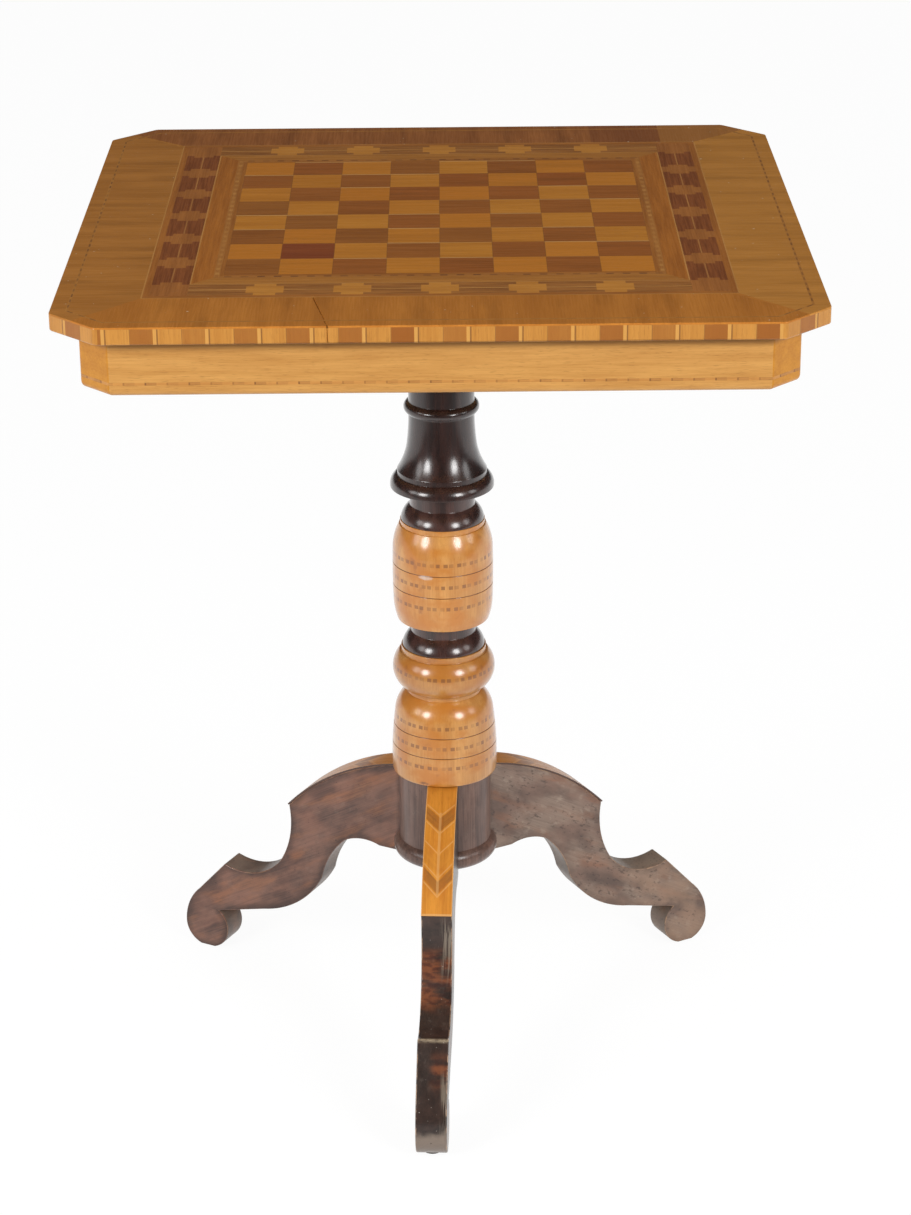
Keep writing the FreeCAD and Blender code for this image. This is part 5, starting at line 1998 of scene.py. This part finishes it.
@dataclass
class TopRim(Assembly):
    """The crossbanded borders, their stringing and the banded edge of the top.

    Attributes:
        rim: outline of the top.
        ease: reach of the eased upper edge, metres.
        band: thickness of the edge banding, millimetres.
        lower: radius of its lower edge.
        crack_foot: x of the crack at the front edge, metres.
        crack_lean: how far the crack drifts to the left for each metre back.
        crack_width: half its width.
        crack_depth: how deep it goes.
        near: how far off a vertex may be that counts as on an edge.
    """

    rim: Rim = Rim(294.0, 37.0)
    ease: float = 0.5 * MM
    band: float = 2.0
    lower: float = 1.7
    crack_foot: float = -83.7 * MM
    crack_lean: float = 0.18
    crack_width: float = 0.7 * MM
    crack_depth: float = 1.5 * MM
    near: float = 20 * TOUCH

    def outside(self, vertex: bmesh.types.BMVert) -> float:
        """Measure how far a vertex lies outside the sharp outline.

        Args:
            vertex: a vertex of the border.

        Returns:
            The distance in metres, below 0 inside.
        """
        half, cant = self.rim.half * MM, self.rim.cant * MM
        x, y = abs(vertex.co.x), abs(vertex.co.y)
        return max(x - half, y - half, (x + y - 2 * half + cant) * math.sqrt(0.5))

    def upright(self, edge: bmesh.types.BMEdge) -> bool:
        """Say whether an edge is one of the upright edges at the cut corners.

        Args:
            edge: an edge of the border.

        Returns:
            Whether it is.
        """
        first, last = (vertex.co for vertex in edge.verts)
        corner = Vector((self.rim.half - self.rim.cant, self.rim.half)) * MM
        off = Vector(sorted((abs(first.x), abs(first.y)))) - corner
        return (first - last).xy.length < TOUCH and max(abs(off.x), abs(off.y)) < self.near

    def upper(self, edge: bmesh.types.BMEdge) -> bool:
        """Say whether an edge lies along the top's upper outline.

        Args:
            edge: an edge of the border.

        Returns:
            Whether it does.
        """
        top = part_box("front_border")[1].z
        return all(
            abs(vertex.co.z - top) < self.near and abs(self.outside(vertex)) < MM for vertex in edge.verts
        )

    def split(self, mesh: bmesh.types.BMesh) -> None:
        """Open the crack in a piece at the front."""
        foot = Vector((self.crack_foot, -self.rim.half * MM, 0.0))
        crack(mesh, foot, self.crack_lean, self.crack_width, self.crack_depth)

    def build(self) -> None:
        """Round the upright and level edges, and open the crack at the front."""
        low, high = (corner.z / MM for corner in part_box("front_edge_band"))
        section = [(0.0, high), *quarter(0.0, low, self.lower), (self.band, low), (self.band, high)]
        corner_reach = self.rim.arris * math.tan(math.tau / 16) * MM
        corner_steps = 6
        for side in Side:
            border = solid_copy(f"{side.word}_border")
            ease(border, corner_reach, self.upright, corner_steps)
            ease(border, self.ease, self.upper)
            band = swept(self.rim, [side.value], section)
            if side is Side.FRONT:
                self.split(border)
                self.split(band)
            self.pieces[f"{side.word}_border"] = show(f"{side.word}_border", border)
            self.pieces[f"{side.word}_edge_band"] = show(f"{side.word}_edge_band", band)
        self.pieces["corner_edge_bands"] = show("corner_edge_bands", swept(self.rim, CORNERS, section))

    def dress(self) -> None:
        """Give each border its own leaf, and the edge its blocks."""
        leaves = {
            Side.FRONT: ((0.40, 0.138, 0.017), (0.535, 0.199, 0.029)),
            Side.RIGHT: ((0.423, 0.172, 0.027), (0.56, 0.240, 0.045)),
            Side.REAR: ((0.24, 0.079, 0.019), (0.39, 0.141, 0.036)),
            Side.LEFT: ((0.358, 0.136, 0.021), (0.49, 0.198, 0.037)),
        }
        joints = {Side.REAR: {"joint": 198.0}}
        for side, (deep, pale) in leaves.items():
            self.finish(Crossband(
                f"{side.word}_border_leaf", deep, pale, Run.ACROSS_SIDE, figure=20.0, pores=0.2,
                **joints.get(side, {}),
            ), [f"{side.word}_border"])
        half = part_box("border_stringing")[1].x / MM
        cant = self.rim.cant - (self.rim.half - half) * (2 - math.sqrt(2))
        self.finish(DashedString(
            "border_dashes", (0.36, 0.142, 0.026), (0.47, 0.200, 0.040), Run.WITH_SIDE, rim=Rim(half, cant),
        ), ["border_stringing"])
        bands = [f"{side.word}_edge_band" for side in Side]
        self.finish(BlockBanding(
            "edge_blocks", (0.43, 0.178, 0.030), (0.52, 0.235, 0.046), Run.UPRIGHT, EDGE_POLISH, rim=self.rim,
        ), [*bands, "corner_edge_bands"])


@dataclass
class Frieze(Assembly):
    """The boards under the top's edge, with their stringing.

    Attributes:
        rim: outline of the frieze.
        lower: radius of its lower edge, millimetres.
        inlay: depth of the stringing.
    """

    rim: Rim = Rim(273.2, 23.6)
    lower: float = 5.0
    inlay: float = 0.8

    def build(self) -> None:
        """Sweep the boards round the rim with rounded edges, and let the stringing into them."""
        foot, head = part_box("front_frieze")
        low, high = foot.z / MM, head.z / MM
        thick = (head.y - foot.y) / MM
        string_low, string_high = (corner.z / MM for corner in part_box("frieze_stringing"))
        groove = [(0.0, string_high), (self.inlay, string_high), (self.inlay, string_low), (0.0, string_low)]
        section = [(0.0, high), *groove, *quarter(0.0, low, self.lower), (thick, low), (thick, high)]
        for side in Side:
            node = f"{side.word}_frieze"
            self.pieces[node] = show(node, swept(self.rim, [side.value], section))
        self.pieces["frieze_corners"] = show("frieze_corners", swept(self.rim, CORNERS, section))
        string = swept(self.rim, range(8), groove)
        self.pieces["frieze_stringing"] = show("frieze_stringing", string)

    def dress(self) -> None:
        """Give the boards their veneer."""
        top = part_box("front_frieze")[1].z / MM
        self.finish(FriezeBoard(
            "frieze_leaf", (0.444, 0.205, 0.048), (0.566, 0.291, 0.079), Run.WITH_SIDE, EDGE_POLISH,
            figure=8.0, streaks=0.5, pores=0.3, head=top,
        ), [f"{side.word}_frieze" for side in Side])
        self.finish(FriezeBoard(
            "frieze_corner_leaf", (0.435, 0.166, 0.012), (0.535, 0.226, 0.019), Run.WITH_SIDE, EDGE_POLISH,
            figure=8.0, pores=0.25, head=top,
        ), ["frieze_corners"])
        low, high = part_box("frieze_stringing")
        self.finish(TickedString(
            "frieze_dashes", (0.42, 0.18, 0.042), (0.54, 0.25, 0.064), Run.WITH_SIDE, EDGE_POLISH,
            rim=self.rim, dash=9.0, pitch=16.5, middle=(low.z + high.z) / 2 / MM,
        ), ["frieze_stringing"])


@dataclass
class Underside(Assembly):
    """What carries the top: core, bearers, blocks, pins and screws.

    Attributes:
        ease: reach of the eased edges, metres.
    """

    ease: float = 1.0 * MM

    def build(self) -> None:
        """Ease the edges of the blocks and bearers."""
        for node in ("head_block", "left_bearer", "right_bearer", "glue_blocks"):
            self.pieces[node] = eased(node, self.ease, segments=2)

    def dress(self) -> None:
        """Give the carcass its bare woods."""
        bare = ((0.26, 0.15, 0.075), (0.42, 0.27, 0.145))
        bearer = ((0.22, 0.12, 0.06), (0.38, 0.23, 0.12))
        head = ((0.18, 0.09, 0.045), (0.31, 0.17, 0.09))
        pin = ((0.22, 0.12, 0.06), (0.36, 0.21, 0.115))
        self.finish(Timber("core_board", *bare, Run.ALONG_X, BARE_WOOD, figure=16.0), ["top_core"])
        self.finish(Timber("bearer_wood", *bearer, Run.ALONG_Y, BARE_WOOD), ["left_bearer", "right_bearer"])
        self.finish(Timber("block_wood", *bare, Run.WITH_SIDE, BARE_WOOD), ["glue_blocks"])
        self.finish(Timber("head_wood", *head, Run.ALONG_X, BARE_WOOD), ["head_block"])
        self.finish(Timber("pin_turning", *pin, Run.ALONG_X), ["pivot_pins"])
        self.finish(Steel("screw_metal"), ["bearer_screws", "case_screws", "keeper_screws"])


@dataclass
class Catch(Assembly):
    """The brass catch that locks the top flat.

    Attributes:
        ease: reach of the eased edges, metres.
    """

    ease: float = 0.6 * MM

    def build(self) -> None:
        """Ease the edges of the plates."""
        for node in ("keeper_plate", "catch_case", "catch_bolt"):
            self.pieces[node] = eased(node, self.ease)

    def dress(self) -> None:
        """Give the catch its old brass."""
        self.finish(Brass("old_brass"), ["keeper_plate", "catch_case", "catch_bolt", "bolt_knob"])


# Studio


@dataclass(frozen=True)
class Lamp:
    """A soft box that looks at the table.

    Attributes:
        name: the lamp's name.
        bearing: degrees from the front towards the right.
        power: watts.
    """

    name: str
    bearing: float
    power: float


@dataclass
class Studio:
    """Floor, lamps, surroundings and camera.

    Attributes:
        lamps: the soft boxes.
        distance: from the pillar to each lamp, metres.
        elevation: height of the lamps in degrees, seen from the pillar.
        box: width and height of a lamp, metres.
        aim: height on the pillar that the lamps look at.
        floor_reach: half the width of the floor, metres.
        floor_colour: colour of the floor.
        white: strength at which the camera sees the floor.
        shading: share of the floor's own shading that the camera sees.
        floor_dim: strength of the floor in reflections, in front of the table.
        floor_front: y between which that part ends, millimetres.
        ambient: strength of the surroundings from below and from above.
        mirrored: their strength in reflections, low behind the table and elsewhere.
        horizon: upward parts of a direction over which the low part ends.
        behind: rearward parts of a direction over which it begins.
        frame_height: height of the photograph in pixels.
        focal: focal length in its pixels.
        eye: the camera's place.
        pitch: how far the camera looks down, radians.
        yaw: how far it looks to the right.
        roll: how far it leans.
    """

    lamps: tuple[Lamp, ...] = (
        Lamp("left_key", -44.0, 45.0),
        Lamp("right_key", 37.0, 45.0),
        Lamp("left_fill", -68.0, 10.0),
        Lamp("right_fill", 72.0, 9.0),
    )
    distance: float = 3.0
    elevation: float = 20.0
    box: Point = (0.85, 1.2)
    aim: float = 0.45
    floor_reach: float = 12.0
    floor_colour: Colour = (0.8, 0.8, 0.8)
    white: float = 1.04
    shading: float = 0.1
    floor_dim: float = 0.1
    floor_front: Point = (-1500.0, -600.0)
    ambient: Point = (0.1, 0.62)
    mirrored: Point = (1.0, 0.04)
    horizon: Point = (0.0, 0.08)
    behind: Point = (-0.3, 0.2)
    frame_height: float = 1215.0
    focal: float = 3148.5
    eye: tuple[float, float, float] = (0.0020, -2.5195, 1.4555)
    pitch: float = 0.4000
    yaw: float = -0.00342
    roll: float = -0.00785

    def build(self) -> None:
        """Set up the studio."""
        self.make_floor()
        self.make_world()
        for lamp in self.lamps:
            self.make_lamp(lamp)
        self.make_camera()
        bpy.context.scene.view_settings.view_transform = "Standard"

    def rays(self, graph: Graph) -> tuple[Socket, Socket]:
        """Tell the kinds of rays apart.

        Args:
            graph: nodes of a material or world.

        Returns:
            A mask of rays from the camera, and one of reflections and of rays through glass.
        """
        path = graph.node("ShaderNodeLightPath", {}, {})
        names = ("Is Camera Ray", "Is Glossy Ray", "Is Transmission Ray")
        camera, glossy, through = (Socket(graph, path.outputs[name]) for name in names)
        return camera, glossy.most(through)

    def make_floor(self) -> None:
        """Lay a pale floor that is seen white and keeps the table's shadow."""
        mesh = bmesh.new()
        bmesh.ops.create_grid(mesh, x_segments=1, y_segments=1, size=self.floor_reach)
        data = bpy.data.meshes.new("floor")
        mesh.to_mesh(data)
        mesh.free()
        floor = bpy.data.objects.new("floor", data)
        bpy.context.scene.collection.objects.link(floor)
        material = bpy.data.materials.new("pale_floor")
        material.use_nodes = True
        graph = Graph(material.node_tree)
        matt = graph.make("ShaderNodeBsdfDiffuse", {}, {"Color": (*self.floor_colour, 1.0)})
        white, dim = (
            graph.make("ShaderNodeEmission", {}, {"Color": WHITE, "Strength": strength})
            for strength in (self.white, self.floor_dim)
        )
        camera, mirrored = self.rays(graph)
        _, y, _ = graph.place()
        swept_up = graph.layer(y.step(*self.floor_front), dim, white)
        seen = graph.layer(camera * (1 - self.shading), matt, white)
        graph.node("ShaderNodeOutputMaterial", {}, {"Surface": graph.layer(mirrored, seen, swept_up)})
        data.materials.append(material)

    def make_world(self) -> None:
        """Surround the table with dim light from above, white where the camera looks."""
        world = bpy.data.worlds.new("studio")
        bpy.context.scene.world = world
        world.use_nodes = True
        graph = Graph(world.node_tree)

        def glow(strength: float) -> Socket:
            """Add a plain background of that strength."""
            return graph.make("ShaderNodeBackground", {}, {"Color": WHITE, "Strength": strength})

        camera, mirrored = self.rays(graph)
        _, back, height = graph.split(graph.make("ShaderNodeTexCoord", {}, {}, "Generated"))
        below, above = self.ambient
        ambient = graph.layer(height.most(0.0), glow(below), glow(above))
        dim = height.step(*self.horizon).most(1 - back.step(*self.behind))
        bright, faint = self.mirrored
        reflected = graph.layer(dim, glow(bright), glow(faint))
        seen = graph.layer(camera, graph.layer(mirrored, ambient, reflected), glow(1.0))
        graph.node("ShaderNodeOutputWorld", {}, {"Surface": seen})

    def make_lamp(self, lamp: Lamp) -> None:
        """Hang one soft box.

        Args:
            lamp: the lamp.
        """
        light = bpy.data.lights.new(lamp.name, "AREA")
        light.shape = "ELLIPSE"
        light.size, light.size_y = self.box
        light.energy = lamp.power
        bearing, rise = math.radians(lamp.bearing), math.radians(self.elevation)
        level = Vector((math.sin(bearing), -math.cos(bearing), 0.0))
        away = level * math.cos(rise) + Vector((0.0, 0.0, math.sin(rise)))
        hung = bpy.data.objects.new(lamp.name, light)
        hung.location = Vector((0.0, 0.0, self.aim)) + away * self.distance
        hung.rotation_euler = away.to_track_quat("Z", "Y").to_euler()
        bpy.context.scene.collection.objects.link(hung)

    def make_camera(self) -> None:
        """Set the camera where the photograph was taken from."""
        lens = bpy.data.cameras.new("camera")
        lens.sensor_width = 36.0
        lens.lens = self.focal * lens.sensor_width / self.frame_height
        camera = bpy.data.objects.new("camera", lens)
        turn = Matrix.Rotation(self.yaw, 4, "Z") @ Matrix.Rotation(math.pi / 2 - self.pitch, 4, "X")
        camera.matrix_world = Matrix.Translation(self.eye) @ turn @ Matrix.Rotation(self.roll, 4, "Z")
        bpy.context.scene.collection.objects.link(camera)
        bpy.context.scene.camera = camera


def main() -> None:
    """Build and dress every sub-assembly, then set up the studio."""
    logging.basicConfig(level=logging.INFO, format="%(name)s: %(message)s")
    for assembly in (Pillar(), Legs(), PlayingBoard(), TopRim(), Frieze(), Underside(), Catch()):
        assembly.build()
        assembly.dress()
        for piece, finish in assembly.dressed.items():
            LOG.info("%s: %s", piece, finish)
    Studio().build()


if __name__ == "__main__":
    main()
